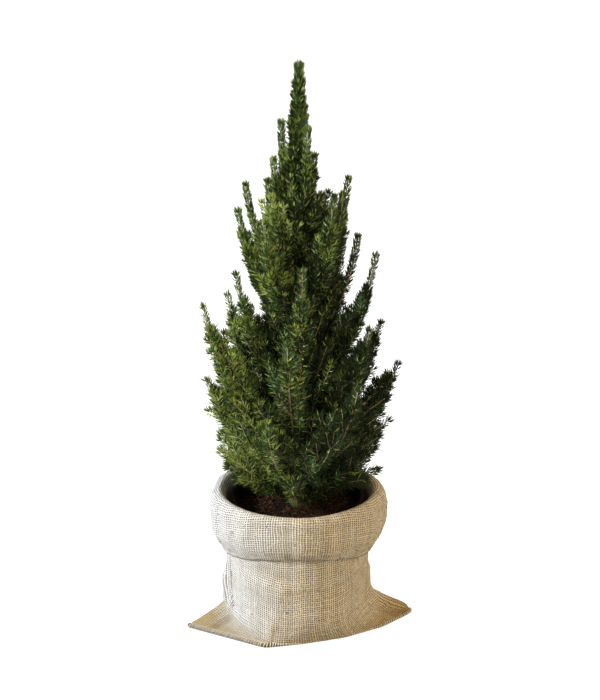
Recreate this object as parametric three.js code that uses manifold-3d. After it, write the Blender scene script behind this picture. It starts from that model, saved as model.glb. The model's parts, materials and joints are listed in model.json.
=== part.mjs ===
// A potted dwarf Alberta spruce in a turned-down jute sack. Millimetres, +Z up.
// The origin is the middle of the sack's flat underside, on the pot's axis. -Y is the sack's front.
import * as THREE from "three";
import { mergeVertices } from "three/addons/utils/BufferGeometryUtils.js";
import Module from "manifold-3d";

const wasm = await Module();
wasm.setup();

const V = (x, y, z) => new THREE.Vector3(x, y, z);
const radians = THREE.MathUtils.degToRad;
const mix = THREE.MathUtils.lerp;
const clamp = THREE.MathUtils.clamp;

// ---- Driving dimensions ----
const CLEARANCE = 0.3; // the gap between pieces that touch on the real plant

const CLOTH = 2.4; // thickness of the sack's wall, one layer of coarse jute
const SACK_STEP = 10; // degrees between two upright edges of the sack's facets
const BODY_RADIUS = 89; // outside of the sack where it hangs round the pot
const LIP_HEIGHT = 177; // top of the fold where the cuff turns down

const POT_SIDES = 32;
const POT_HEIGHT = 162;
const POT_FOOT_RADIUS = 65;
const POT_TOP_RADIUS = 80;
const POT_BEAD_RADIUS = 83; // outside of the thick band round the pot's mouth
const POT_BEAD_HEIGHT = 14;
const POT_WALL = 2;
const POT_FLOOR = 3;

const SOIL_TOP = 152;
const SOIL_GAP = 0.7; // between the soil's facets and the pot's wall
const SOIL_EDGE_DROP = 3; // the soil is a little lower at the pot's wall
const SOIL_CROWN_RADIUS = 24; // flat middle of the soil

const TRUNK_SIDES = 10;
const TRUNK_STEP = 42; // between two rings of the trunk above its foot
const TRUNK_TOP = 588;
const TRUNK_FOOT_RADIUS = 6.6;
const TRUNK_TIP_RADIUS = 1.7;
const TRUNK_TAPER = 0.85; // 1 for an even taper, less for one that is quicker at the foot
const ROOT_FLARE = 4.2; // what the root flare adds to the radius at the soil
const ROOT_FLARE_HEIGHT = 9;
const TRUNK_SWAY = 2.5; // how far the trunk wanders from its axis
const PLANT_TOP = 694;

const BOUGH_ROOT_RADIUS = 3.2;
const BOUGH_TIP_RADIUS = 2.1;
const BOUGH_SHARE = 0.34; // the part of a limb's path that is bare bough; its mass begins there
const BOUGH_SIDES = 6;
const BOUGH_STEPS = 4;

const NEEDLE = 15; // needles stand for small bunches, so they are longer than life
const NEEDLE_PITCH = 11; // distance between two pairs of needles along a shoot
const NEEDLE_SLANT = { foot: 54, tip: 25 }; // degrees from the shoot, at its foot and at its tip
const TIP_NEEDLE = 0.66; // the last needles' length as a share of the first's
const CORE_RADIUS = 2.6; // woody core that the needles stand out of
const TIP_CORE = 0.6; // the core's radius at the tip as a share of its radius at the foot
const TWIG_RADIUS = 1.6; // a side shoot where it leaves its stem
const SIDE_SHOOT = 46; // length of the longest side shoots
const SIDE_SPACING = 24; // distance between two side shoots along a stem
const SIDE_ANGLE = 44; // degrees between a side shoot and its stem
const SIDE_CURVE = 0.12; // how much of its length a side shoot gains towards the stem's heading
const TOP_SIDE_SHOOT = 0.62; // length of the topmost side shoot as a share of the lowest's
const GOLDEN_ANGLE = 137.508;
const TRIED_SHARES = [1, 0.85, 0.7, 0.55]; // sizes that a shoot is tried at until it fits
const SPACE_GAP = 2.2; // room kept free between two masses
const LIMB_GAP = 1.2; // room kept free round bare limbs

// Tiers of limbs from the soil up. root: height on the trunk. tip: mean height of the tips.
// reach: mean distance of the tips from the axis. lean and tilt: what reach and tip gain on
// the +X side. stagger: what the tips of every second limb gain, and of the others lose.
// spread: 1 for straight, slanting limbs, 0 for limbs that turn straight up.
const TIERS = [
  {
    name: "skirt", bough: true, count: 7, turn: 10, root: 166, spread: 0.9,
    tip: 224, tilt: 10, stagger: 8, reach: 106, lean: 4,
  },
  {
    name: "low", bough: true, count: 7, turn: 0, root: 185, spread: 0.55,
    tip: 306, tilt: 4, stagger: 24, reach: 118, lean: 6,
  },
  {
    name: "middle", bough: true, count: 6, turn: 20, root: 222, spread: 0.5,
    tip: 398, tilt: -14, stagger: -8, reach: 110, lean: -8,
  },
  {
    name: "upper", bough: false, count: 5, turn: -15, root: 290, spread: 0.5,
    tip: 466, tilt: 8, stagger: 5, reach: 86, lean: 9,
  },
  {
    name: "shoulder", bough: false, count: 5, turn: 25, root: 372, spread: 0.55,
    tip: 536, tilt: 18, stagger: 4, reach: 70, lean: 1,
  },
  {
    name: "crown", bough: false, count: 4, turn: 30, root: 484, spread: 0.4,
    tip: 606, tilt: 0, stagger: -18, reach: 30, lean: 0,
  },
];
const SCATTER = { azimuth: 6, reach: 4, tip: 6, root: 2 }; // the most that chance adds or takes
const ROOT_STAGGER = 4; // every second limb starts this much higher, and the others lower
const EARLY_RISE = 0.45; // share of a limb's rise that it makes evenly; the rest comes late

// ---- Materials ----
function finish(color, roughness) {
  return new THREE.MeshStandardMaterial({ color, roughness, metalness: 0 });
}
const JUTE = finish(0xcdb992, 0.95);
const PLASTIC = finish(0x4a2f24, 0.5);
const SOIL = finish(0x2a1d15, 1);
const BARK = finish(0x7a5f45, 0.9);
const NEEDLES = finish(0x2f4a1e, 0.6);

// ---- Seeded numbers and small helpers ----
class Seeded {
  constructor(seed) {
    this.state = seed;
    this.next();
  }
  next() {
    this.state = (this.state * 1664525 + 1013904223) % 4294967296;
    return this.state / 4294967296;
  }
  between(low, high) {
    return low + (high - low) * this.next();
  }
  around(middle, most) {
    return this.between(middle - most, middle + most);
  }
}

function solid(geometry) {
  const merged = mergeVertices(geometry, 1e-4);
  return new wasm.Manifold(
    new wasm.Mesh({
      numProp: 3,
      vertProperties: merged.attributes.position.array,
      triVerts: new Uint32Array(merged.index.array),
    }),
  );
}

function geometryOf(manifold) {
  const made = manifold.getMesh();
  const geometry = new THREE.BufferGeometry();
  geometry.setAttribute("position", new THREE.BufferAttribute(made.vertProperties, 3));
  geometry.setIndex(new THREE.BufferAttribute(made.triVerts, 1));
  geometry.computeVertexNormals();
  return geometry;
}

// A skin over rings of equally many points. The first and last entries are single points, which
// close it. Each four-sided patch is split along its shorter diagonal.
function skin(rings) {
  const points = rings.flat();
  const faces = [];
  let start = 0;
  for (let i = 0; i + 1 < rings.length; i++) {
    const [m, n] = [rings[i].length, rings[i + 1].length];
    const next = start + m;
    for (let k = 0; k < Math.max(m, n); k++) {
      const [a, b] = [start + (k % m), start + ((k + 1) % m)];
      const [c, d] = [next + (k % n), next + ((k + 1) % n)];
      if (m === 1) faces.push(a, d, c);
      else if (n === 1) faces.push(a, b, c);
      else if (points[a].distanceTo(points[d]) < points[b].distanceTo(points[c])) {
        faces.push(a, b, d, a, d, c);
      } else faces.push(a, b, c, b, d, c);
    }
    start = next;
  }
  const positions = new Float32Array(points.flatMap((p) => [p.x, p.y, p.z]));
  const geometry = new THREE.BufferGeometry();
  geometry.setAttribute("position", new THREE.BufferAttribute(positions, 3));
  geometry.setIndex(faces);
  return geometry;
}

function middle(ring) {
  return ring.reduce((sum, p) => sum.add(p), V(0, 0, 0)).divideScalar(ring.length);
}

function cappedSkin(rings) {
  return skin([[middle(rings[0])], ...rings, [middle(rings[rings.length - 1])]]);
}

// A ring of points in the plane of two unit vectors.
function ringAt(centre, across, lift, radius, sides) {
  return Array.from({ length: sides }, (_, k) => {
    const angle = (2 * Math.PI * k) / sides;
    const out = across.clone().multiplyScalar(Math.cos(angle)).addScaledVector(lift, Math.sin(angle));
    return centre.clone().addScaledVector(out, radius);
  });
}

function sampled(at, from, to, steps) {
  return Array.from({ length: steps + 1 }, (_, i) => at(mix(from, to, i / steps)));
}

function mesh(name, geometry, material) {
  const made = new THREE.Mesh(geometry, material);
  made.name = name;
  return made;
}

// ---- Pot and soil: turned on the pot's axis ----
const POT_BASE = CLOTH + CLEARANCE;
const POT_TOP = POT_BASE + POT_HEIGHT;
const potRadiusAt = (z) => mix(POT_FOOT_RADIUS, POT_TOP_RADIUS, (z - POT_BASE) / POT_HEIGHT);

function turned(profile) {
  const points = profile.map(([radius, height]) => new THREE.Vector2(radius, height));
  return new THREE.LatheGeometry(points, POT_SIDES).rotateX(Math.PI / 2);
}

function pot() {
  const bead = POT_TOP - POT_BEAD_HEIGHT;
  const inside = POT_BASE + POT_FLOOR;
  return turned([
    [0, POT_BASE],
    [POT_FOOT_RADIUS, POT_BASE],
    [potRadiusAt(bead), bead],
    [POT_BEAD_RADIUS, bead],
    [POT_BEAD_RADIUS, POT_TOP],
    [POT_TOP_RADIUS - POT_WALL, POT_TOP],
    [potRadiusAt(inside) - POT_WALL, inside],
    [0, inside],
  ]);
}

function soil() {
  const bottom = POT_BASE + POT_FLOOR + CLEARANCE;
  const edge = SOIL_TOP - SOIL_EDGE_DROP;
  const side = (z) => potRadiusAt(z) - POT_WALL - SOIL_GAP;
  return turned([
    [0, bottom],
    [side(bottom), bottom],
    [side(edge), edge],
    [SOIL_CROWN_RADIUS, SOIL_TOP],
    [0, SOIL_TOP],
  ]);
}

// ---- The sack: one cloth, up round the pot, over the lip and down as a cuff ----
// Where the cloth meets the floor: the flat seam's two ears, the front corner and points between.
const FLOOR_CORNERS = [
  { x: 145, y: 12 }, // right ear
  { x: 137, y: 34 },
  { x: 92, y: 64 },
  { x: 30, y: 83 },
  { x: -40, y: 80 },
  { x: -92, y: 46 },
  { x: -136, y: -24 }, // left ear
  { x: -136, y: -36 },
  { x: -40, y: -90 }, // front corner
  { x: 6, y: -80 },
  { x: 60, y: -62 },
  { x: 106, y: -34 },
];
// How the cloth spreads to that outline: share of the way out, at each height.
const SPREAD = [
  { z: 52, share: 0 },
  { z: 34, share: 0.06 },
  { z: 19, share: 0.33 },
  { z: 11, share: 0.62 },
  { z: 5.5, share: 0.88 },
  { z: 2.2, share: 0.98 },
  { z: 0, share: 1 },
];
// Outside of the cuff, from the mouth over the lip to the hem, and how much each height waves.
const CUFF = [
  { r: 91.5, z: 171, waving: 0 },
  { r: 97, z: LIP_HEIGHT, waving: 0 },
  { r: 104.5, z: 173, waving: 1 },
  { r: 109, z: 160, waving: 1 },
  { r: 108, z: 138, waving: 1 },
  { r: 104, z: 118, waving: 1 },
  { r: 95.5, z: 103, waving: 1 },
  { r: 92.4, z: 97, waving: 0.2 },
];
const CUFF_WAVES = [
  { count: 3, height: 1.6, phase: 0.6 },
  { count: 5, height: 1.1, phase: 2.1 },
  { count: 8, height: 0.6, phase: 0 },
];
const SIDE_PLEAT = { angle: 187, width: 9, depth: 7, top: 100, fade: 40 }; // left side's standing fold
const FOOT_SLACK = 7; // between the pot's foot and the sack's inside

// Distance from the axis to the floor outline: the longest way along a ray to any of its sides.
function floorRadius(angle) {
  const ray = V(Math.cos(angle), Math.sin(angle), 0);
  const distances = FLOOR_CORNERS.map((a, i) => {
    const b = FLOOR_CORNERS[(i + 1) % FLOOR_CORNERS.length];
    const cross = (b.x - a.x) * ray.y - (b.y - a.y) * ray.x;
    const along = clamp((a.y * ray.x - a.x * ray.y) / cross, 0, 1);
    const meets = V(mix(a.x, b.x, along), mix(a.y, b.y, along), 0);
    const onRay = meets.dot(ray);
    return meets.distanceTo(ray.clone().multiplyScalar(onRay)) < 0.01 ? onRay : 0;
  });
  return Math.max(...distances);
}

function cuffWave(angle) {
  return CUFF_WAVES.reduce((sum, w) => sum + w.height * Math.sin(w.count * angle + w.phase), 0);
}

function pleat(angle, z) {
  const turn = angle - radians(SIDE_PLEAT.angle) + Math.PI;
  const away = Math.abs(THREE.MathUtils.euclideanModulo(turn, 2 * Math.PI) - Math.PI);
  const across = Math.max(0, 1 - away / radians(SIDE_PLEAT.width));
  return SIDE_PLEAT.depth * across * clamp((SIDE_PLEAT.top - z) / SIDE_PLEAT.fade, 0, 1);
}

// Even steps round the sack, with the floor outline's corners in place of the steps beside them.
function sackAngles() {
  const corners = FLOOR_CORNERS.map(({ x, y }) => Math.atan2(y, x));
  const near = (angle) => corners.some((c) => Math.cos(angle - c) > Math.cos(radians(SACK_STEP / 2)));
  const steps = sampled((turn) => radians(turn), -180, 180 - SACK_STEP, 360 / SACK_STEP - 1);
  return [...corners, ...steps.filter((angle) => !near(angle))].sort((a, b) => b - a);
}

// Rings from the inside's floor up to the lip, down the cuff, up behind it and down to the floor.
function sackRows() {
  const inside = BODY_RADIUS - CLOTH;
  const row = (z, radius) => ({ z, radiusAt: () => radius });
  const waved = ({ r, z, waving }, inwards, drop) => ({
    z: z - drop,
    radiusAt: (angle) => r - inwards + waving * cuffWave(angle),
  });
  const pleated = (z, share) => ({
    z,
    radiusAt: (angle) => mix(BODY_RADIUS + pleat(angle, z), floorRadius(angle), share),
  });
  return [
    row(CLOTH, POT_FOOT_RADIUS + FOOT_SLACK),
    row(26, inside - 5),
    row(60, inside),
    row(150, inside),
    row(CUFF[0].z, CUFF[0].r - CLOTH),
    row(CUFF[1].z, CUFF[1].r - 1),
    ...CUFF.slice(2).map((c) => waved(c, 0, 0)),
    row(CUFF[7].z, BODY_RADIUS + 1.2),
    ...CUFF.slice(3, 7).reverse().map((c) => waved(c, CLOTH, 1)),
    row(CUFF[2].z - 2.4, CUFF[2].r - CLOTH - 1.5),
    row(CUFF[2].z - 4.5, BODY_RADIUS + 3.5),
    row(150, BODY_RADIUS),
    pleated(97, 0),
    pleated(72, 0),
    ...SPREAD.map((s) => pleated(s.z, s.share)),
  ];
}

function sack() {
  const angles = sackAngles();
  const rings = sackRows().map(({ z, radiusAt }) =>
    angles.map((angle) => V(radiusAt(angle) * Math.cos(angle), radiusAt(angle) * Math.sin(angle), z)),
  );
  // The underside's middle lies off the axis, so that the axis meets the inside of a face.
  return skin([[V(0, 0, CLOTH)], ...rings, [V(9, 5, 0)]]);
}

// ---- Trunk and limbs ----
// The trunk wanders a little as it rises, in two slow waves.
function trunkAt(z) {
  const t = (z - SOIL_TOP) / (PLANT_TOP - SOIL_TOP);
  const x = TRUNK_SWAY * Math.sin(2.4 * Math.PI * t);
  return V(x, 0.7 * TRUNK_SWAY * Math.sin(1.7 * Math.PI * t), z);
}

function trunkRadius(z) {
  const t = (z - SOIL_TOP) / (TRUNK_TOP - SOIL_TOP);
  const flare = ROOT_FLARE * Math.exp(-(z - SOIL_TOP) / ROOT_FLARE_HEIGHT);
  return mix(TRUNK_FOOT_RADIUS, TRUNK_TIP_RADIUS, Math.pow(t, TRUNK_TAPER)) + flare;
}

function trunk() {
  const foot = SOIL_TOP + CLEARANCE;
  const heights = [0, 4, 10, 22].map((above) => foot + above);
  for (let z = heights[3] + TRUNK_STEP; z < TRUNK_TOP; z += TRUNK_STEP) heights.push(z);
  heights.push(TRUNK_TOP);
  const ring = (z) => ringAt(trunkAt(z), V(1, 0, 0), V(0, 1, 0), trunkRadius(z), TRUNK_SIDES);
  return cappedSkin(heights.map(ring));
}

// A limb's whole path, bough and stem of its mass, in the upright plane of its azimuth.
function limbOf(tier, k) {
  const random = new Seeded(1000 * (TIERS.indexOf(tier) + 1) + k);
  const azimuth = radians(random.around(tier.turn + (360 / tier.count) * k, SCATTER.azimuth));
  const outward = V(Math.cos(azimuth), Math.sin(azimuth), 0);
  const side = k % 2 ? -1 : 1;
  const reach = random.around(tier.reach + tier.lean * outward.x, SCATTER.reach);
  const tip = random.around(tier.tip + tier.tilt * outward.x + side * tier.stagger, SCATTER.tip);
  const root = random.around(tier.root + side * ROOT_STAGGER, SCATTER.root);
  const at = (t) => {
    const out = reach * mix(1 - (1 - t) ** 2, t, tier.spread);
    const rise = (tip - root) * mix(t * t, t, EARLY_RISE);
    return trunkAt(root).addScaledVector(outward, out).add(V(0, 0, rise));
  };
  const across = V(-outward.y, outward.x, 0);
  return { name: `${tier.name}_${k + 1}`, at, across, outward, hasBough: tier.bough };
}

// Unit vector along a path, from two points close to each other on it.
function headingOf(path, t) {
  const step = 0.002;
  const from = path.at(Math.max(0, t - step));
  return path.at(Math.min(1, t + step)).sub(from).normalize();
}

// The share of a limb's path at which it comes out of the trunk. Its upright foot is cut there,
// clear of the trunk's wider part under it.
function startShare(limb) {
  const gap = (t) => {
    const point = limb.at(t);
    return trunkAt(point.z).distanceTo(point) - trunkRadius(point.z - BOUGH_ROOT_RADIUS);
  };
  let t = 0;
  while (gap(t) < CLEARANCE) t += 0.0002;
  return t;
}

function lengthOf(path, from, to) {
  const points = sampled(path.at, from, to, 16);
  return points.slice(1).reduce((sum, point, i) => sum + point.distanceTo(points[i]), 0);
}

function boughOf(limb) {
  const from = startShare(limb);
  const ring = (i) => {
    const t = mix(from, BOUGH_SHARE, i / BOUGH_STEPS);
    const facing = i ? headingOf(limb, t) : limb.outward;
    const lift = facing.clone().cross(limb.across);
    const radius = mix(BOUGH_ROOT_RADIUS, BOUGH_TIP_RADIUS, i / BOUGH_STEPS);
    return ringAt(limb.at(t), limb.across, lift, radius, BOUGH_SIDES);
  };
  return cappedSkin(sampled(ring, 0, BOUGH_STEPS, BOUGH_STEPS));
}

// ---- Shoots: a slim core with pairs of needles that point forward, each pair square to the last ----
// A path has at(t) for t from 0 to 1, and across, which is square to its heading. The core starts
// at the share start, with a foot that faces back along foot, and the needles at the share bare.
function shoot(path, { start, foot, bare, pairs, footRadius, needle, twist }) {
  const place = (t, k, radius, ahead) => {
    const heading = t === start ? foot : headingOf(path, t);
    const lift = heading.clone().cross(path.across).normalize();
    const across = lift.clone().cross(heading);
    const angle = twist + (Math.PI / 2) * k;
    const out = across.multiplyScalar(Math.cos(angle)).addScaledVector(lift, Math.sin(angle));
    return path.at(t).addScaledVector(out, radius).addScaledVector(heading, ahead);
  };
  const quarters = [0, 1, 2, 3];
  const outline = [path.at(0.6), path.at(1)];
  const pitch = (1 - bare) / pairs;
  const ringOf = (i) => {
    const age = (i + 1) / pairs; // near 0 at the foot, 1 at the tip
    const slant = radians(mix(NEEDLE_SLANT.foot, NEEDLE_SLANT.tip, age));
    const length = needle * mix(1, TIP_NEEDLE, age);
    const t = bare + i * pitch;
    return quarters.map((k) => {
      if ((k + i) % 2) return place(t, k, CORE_RADIUS * mix(1, TIP_CORE, age), 0);
      const tip = place(t, k, length * Math.sin(slant), length * Math.cos(slant));
      outline.push(tip);
      return tip;
    });
  };
  const rings = [quarters.map((k) => place(start, k, footRadius, 0))];
  for (let i = 0; i < pairs; i++) rings.push(ringOf(i));
  return { geometry: skin([[path.at(start)], ...rings, [path.at(1)]]), outline };
}

// ---- The plant: every limb, then every mass in its own space ----
const limbs = TIERS.flatMap((tier) => sampled((k) => limbOf(tier, k), 0, tier.count - 1, tier.count - 1));
const leader = {
  name: "leader",
  at: (t) => trunkAt(mix(TRUNK_TOP, PLANT_TOP, t)),
  across: V(0, 1, 0),
  outward: V(0, 0, 1),
  hasBough: false,
};
limbs.push(leader);

// The share of a limb's path at which the stem of its mass begins.
function stemStart(limb) {
  if (limb === leader) return CLEARANCE / (PLANT_TOP - TRUNK_TOP);
  if (limb.hasBough) return BOUGH_SHARE + CLEARANCE / lengthOf(limb, 0, 1);
  return startShare(limb);
}

for (const limb of limbs) {
  limb.stemFrom = stemStart(limb);
  limb.stem = sampled(limb.at, limb.stemFrom, 1, 12);
}
const trunkLine = sampled(trunkAt, SOIL_TOP, TRUNK_TOP, 16);
const boughLines = limbs.filter((limb) => limb.hasBough).map((limb) => sampled(limb.at, 0, BOUGH_SHARE, 4));

function distanceTo(line, point) {
  let best = Infinity;
  const segment = new THREE.Line3();
  const nearest = V(0, 0, 0);
  for (let i = 0; i + 1 < line.length; i++) {
    segment.set(line[i], line[i + 1]);
    segment.closestPointToPoint(point, true, nearest);
    best = Math.min(best, nearest.distanceTo(point));
  }
  return best;
}

// Foliage stays over the soil, inside the pot's mouth or above the sack's lip.
function clearOfPot(point) {
  const insideMouth = Math.hypot(point.x, point.y) < POT_TOP_RADIUS - 8;
  return point.z > (insideMouth ? SOIL_TOP + 2 : LIP_HEIGHT + 4);
}

// A point is in a mass's own space where that mass's stem is the nearest, with room to spare,
// and where no bare limb is near.
function inOwnSpace(point, limb) {
  const own = distanceTo(limb.stem, point);
  return (
    clearOfPot(point) &&
    limbs.every((other) => other === limb || distanceTo(other.stem, point) > own + SPACE_GAP) &&
    distanceTo(trunkLine, point) > trunkRadius(Math.min(point.z, TRUNK_TOP)) + LIMB_GAP &&
    boughLines.every((line) => distanceTo(line, point) > BOUGH_ROOT_RADIUS + LIMB_GAP)
  );
}

// The path of side shoot i of a stem. The shoots stand round the stem by the golden angle.
function sidePath(limb, t, turn, length) {
  const heading = headingOf(limb, t);
  const lift = heading.clone().cross(limb.across);
  const out = limb.across.clone().multiplyScalar(Math.cos(turn)).addScaledVector(lift, Math.sin(turn));
  const lean = heading.clone().multiplyScalar(Math.cos(radians(SIDE_ANGLE)));
  lean.addScaledVector(out, Math.sin(radians(SIDE_ANGLE)));
  const at = (s) =>
    limb.at(t).addScaledVector(lean, length * s).addScaledVector(heading, SIDE_CURVE * length * s * s);
  return { at, across: lean.clone().cross(heading).normalize() };
}

// A side shoot that would leave the mass's space is tried shorter, and skipped if even the
// shortest doesn't fit. The leader has side shoots only on its lower half.
function sideShoots(limb, random) {
  const count = Math.round(lengthOf(limb, limb.stemFrom, 1) / SIDE_SPACING);
  const last = limb === leader ? 0.45 : 1;
  const made = [];
  for (let i = 0; i < count; i++) {
    const t = mix(limb.stemFrom, last, (i + 0.7) / (count + 0.9));
    const turn = radians(random.around(GOLDEN_ANGLE * i, 20));
    const full = SIDE_SHOOT * mix(1, TOP_SIDE_SHOOT, i / count) * random.around(1, 0.1);
    const twist = random.between(0, Math.PI / 2);
    for (const share of TRIED_SHARES) {
      const path = sidePath(limb, t, turn, full * share);
      const pairs = Math.max(2, Math.round((0.75 * full * share) / NEEDLE_PITCH));
      const twig = shoot(path, {
        start: 0, foot: headingOf(path, 0), bare: 0.25, pairs, footRadius: TWIG_RADIUS,
        needle: 0.9 * NEEDLE, twist,
      });
      if (twig.outline.every((point) => inOwnSpace(point, limb))) {
        made.push(twig.geometry);
        break;
      }
    }
  }
  return made;
}

// The stem of a mass. Its needles are cut shorter until they fit the mass's space.
function stemOf(limb, random) {
  const span = lengthOf(limb, limb.stemFrom, 1);
  const bare = mix(limb.stemFrom, 1, limb === leader ? 0.06 : Math.min(0.3, 16 / span));
  const pairs = Math.max(3, Math.round((span * (1 - bare)) / (1 - limb.stemFrom) / NEEDLE_PITCH));
  const start = limb.stemFrom;
  const foot = limb.hasBough ? headingOf(limb, start) : limb.outward;
  const footRadius = limb.hasBough ? BOUGH_TIP_RADIUS : 0.8 * CORE_RADIUS;
  const twist = random.between(0, Math.PI / 2);
  const made = TRIED_SHARES.map((share) =>
    shoot(limb, { start, foot, bare, pairs, footRadius, needle: NEEDLE * share, twist }),
  );
  return made.find((stem) => stem.outline.every((point) => inOwnSpace(point, limb))) ?? made.at(-1);
}

function massOf(limb, index) {
  const random = new Seeded(7000 + index);
  const stem = solid(stemOf(limb, random).geometry);
  return sideShoots(limb, random).reduce((whole, twig) => whole.add(solid(twig)), stem);
}

// ---- Assembly ----
const plant = new THREE.Group();
plant.add(mesh("sack", sack(), JUTE));
plant.add(mesh("pot", pot(), PLASTIC));
plant.add(mesh("soil", soil(), SOIL));
plant.add(mesh("trunk", trunk(), BARK));
for (const limb of limbs.filter((each) => each.hasBough)) {
  plant.add(mesh(`bough_${limb.name}`, boughOf(limb), BARK));
}
limbs.forEach((limb, index) => {
  plant.add(mesh(`foliage_${limb.name}`, geometryOf(massOf(limb, index)), NEEDLES));
});

export default plant;
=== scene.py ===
# %% [markdown]
# # A potted dwarf spruce in a jute sack
# This lesson dresses a finished CAD frame: a dwarf Alberta spruce in a nursery pot that stands in a
# turned-down jute sack. The frame holds one plain solid for each sub-part. Here each solid gets its
# real surface: woven cloth, bark, soil and more than two hundred thousand single needles. Everything
# is drawn in the frame's own place, with +Z up, -Y the front and the origin under the sack.

# %% Load the frame
import json

import bpy
import numpy as np
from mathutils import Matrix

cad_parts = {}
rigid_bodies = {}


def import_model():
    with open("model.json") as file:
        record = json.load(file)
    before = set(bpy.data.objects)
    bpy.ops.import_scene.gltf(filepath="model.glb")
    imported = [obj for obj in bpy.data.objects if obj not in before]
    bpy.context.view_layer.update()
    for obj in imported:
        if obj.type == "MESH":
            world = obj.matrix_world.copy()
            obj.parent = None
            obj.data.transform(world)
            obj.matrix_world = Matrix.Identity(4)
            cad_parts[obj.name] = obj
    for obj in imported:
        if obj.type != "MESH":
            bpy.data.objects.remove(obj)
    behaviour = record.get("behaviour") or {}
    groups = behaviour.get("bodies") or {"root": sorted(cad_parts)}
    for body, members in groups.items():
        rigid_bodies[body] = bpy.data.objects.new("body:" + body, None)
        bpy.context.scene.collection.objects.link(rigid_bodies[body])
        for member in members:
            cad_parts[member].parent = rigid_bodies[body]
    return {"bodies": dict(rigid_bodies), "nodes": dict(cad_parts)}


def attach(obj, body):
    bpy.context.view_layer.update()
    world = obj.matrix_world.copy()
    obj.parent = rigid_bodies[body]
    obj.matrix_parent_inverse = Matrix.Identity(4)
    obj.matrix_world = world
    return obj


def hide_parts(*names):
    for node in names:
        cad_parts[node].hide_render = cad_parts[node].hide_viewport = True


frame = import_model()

MM = 0.001  # sizes below are in millimetres, and Blender's unit is the metre
bpy.context.view_layer.update()
node_names = sorted(frame["nodes"])

# %% [markdown]
# ## The viewpoint
# The plant is seen from a little above, as somebody standing in front of a table sees it. A long
# lens from nearly two metres keeps the sack's round mouth a flat ellipse. The camera comes first,
# so that every piece can be judged from the same place.

# %% Camera
CAMERA_PLACE = (0.0033, -1.9, 0.962)  # metres
CAMERA_DOWN = 17.8  # degrees below the horizon
LENS = 85.37
SENSOR_HEIGHT = 36


def make_camera():
    """The scene's camera, in its place and tilted down."""
    data = bpy.data.cameras.new("camera")
    data.sensor_fit = "VERTICAL"
    data.sensor_height = SENSOR_HEIGHT
    data.lens = LENS
    camera = bpy.data.objects.new("camera", data)
    camera.location = CAMERA_PLACE
    camera.rotation_euler = (np.radians(90 - CAMERA_DOWN), 0, 0)
    bpy.context.scene.collection.objects.link(camera)
    bpy.context.scene.camera = camera


make_camera()
print(f"camera {-CAMERA_PLACE[1]} m in front, looking {CAMERA_DOWN} degrees down")

# %% [markdown]
# ## From arrays to pieces
# Every surface here is a numpy array of points and one or more arrays of faces. foreach_set copies
# whole arrays into a mesh at once, which stays fast for a million triangles. A piece then rides on
# the frame's only body, takes a material made here, and hides the CAD nodes that it stands for.

# %% Piece maker
BODY = next(iter(frame["bodies"]))


def make_piece(name, points, faces, smooth=True):
    """An object from points in millimetres and a list of face arrays, three or four corners each."""
    corners = np.concatenate([group.ravel() for group in faces])
    sizes = np.concatenate([np.full(len(group), group.shape[1]) for group in faces])
    mesh = bpy.data.meshes.new(name)
    mesh.vertices.add(len(points))
    mesh.vertices.foreach_set("co", (points * MM).astype(np.float32).ravel())
    mesh.loops.add(len(corners))
    mesh.loops.foreach_set("vertex_index", corners.astype(np.int32))
    mesh.polygons.add(len(sizes))
    mesh.polygons.foreach_set("loop_start", (np.cumsum(sizes) - sizes).astype(np.int32))
    mesh.polygons.foreach_set("use_smooth", np.full(len(sizes), smooth))
    mesh.update(calc_edges=True)
    piece = bpy.data.objects.new(name, mesh)
    bpy.context.scene.collection.objects.link(piece)
    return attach(piece, BODY)


def finish_piece(piece, material, nodes=()):
    """Gives a piece its material and hides the CAD nodes that it replaces."""
    piece.data.materials.append(material)
    if nodes:
        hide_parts(*nodes)
    triangles = sum(polygon.loop_total - 2 for polygon in piece.data.polygons)
    print(f"{piece.name}: {triangles} triangles")
    return piece


def nodes_called(*starts):
    """The CAD nodes whose names start so."""
    return [name for name in node_names if name.startswith(starts)]


print(f"every piece rides on the body {BODY}")

# %% [markdown]
# ## A few formulas
# The same small formulas come back in every piece: a blend between two values, unit vectors, the
# way along a line, points at even steps on it, and rough fields from a seed, so that each run gives
# the same plant.

# %% Shared formulas
def mix(a, b, t):
    """a where t is 0, b where t is 1, and evenly in between."""
    return a + (b - a) * t


def unit(vectors):
    """Each vector divided by its own length."""
    return vectors / np.linalg.norm(vectors, axis=-1, keepdims=True)


def from_table(table, place):
    """A table of places and values, read at each place and evenly between its rows."""
    return np.interp(place, *np.array(table, float).T)


def way_along(points, axis=0):
    """The distance gone along a line of points, from 0 at its first."""
    steps = np.linalg.norm(np.diff(points, axis=axis), axis=-1)
    return np.cumsum(np.insert(steps, 0, 0, axis=axis), axis=axis)


def spaced(corners, count, endpoint=True):
    """Points at even steps along straight lines between corners, with or without the last one."""
    line = np.array(corners, float)
    way = way_along(line)
    places = np.linspace(0, way[-1], count, endpoint=endpoint)
    return np.stack([np.interp(places, way, column) for column in line.T], axis=1)


def softened(points, reach, ends):
    """Each point averaged with its neighbours as far as the reach, weighted by a raised cosine.
    Past the ends the line wraps round, or its end points repeat."""
    weights = np.hanning(2 * reach + 3)[1:-1]
    padded = np.pad(points, ((reach, reach), (0, 0)), mode=ends)
    axes = [np.convolve(column, weights / weights.sum(), "valid") for column in padded.T]
    return np.stack(axes, axis=1)


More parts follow.
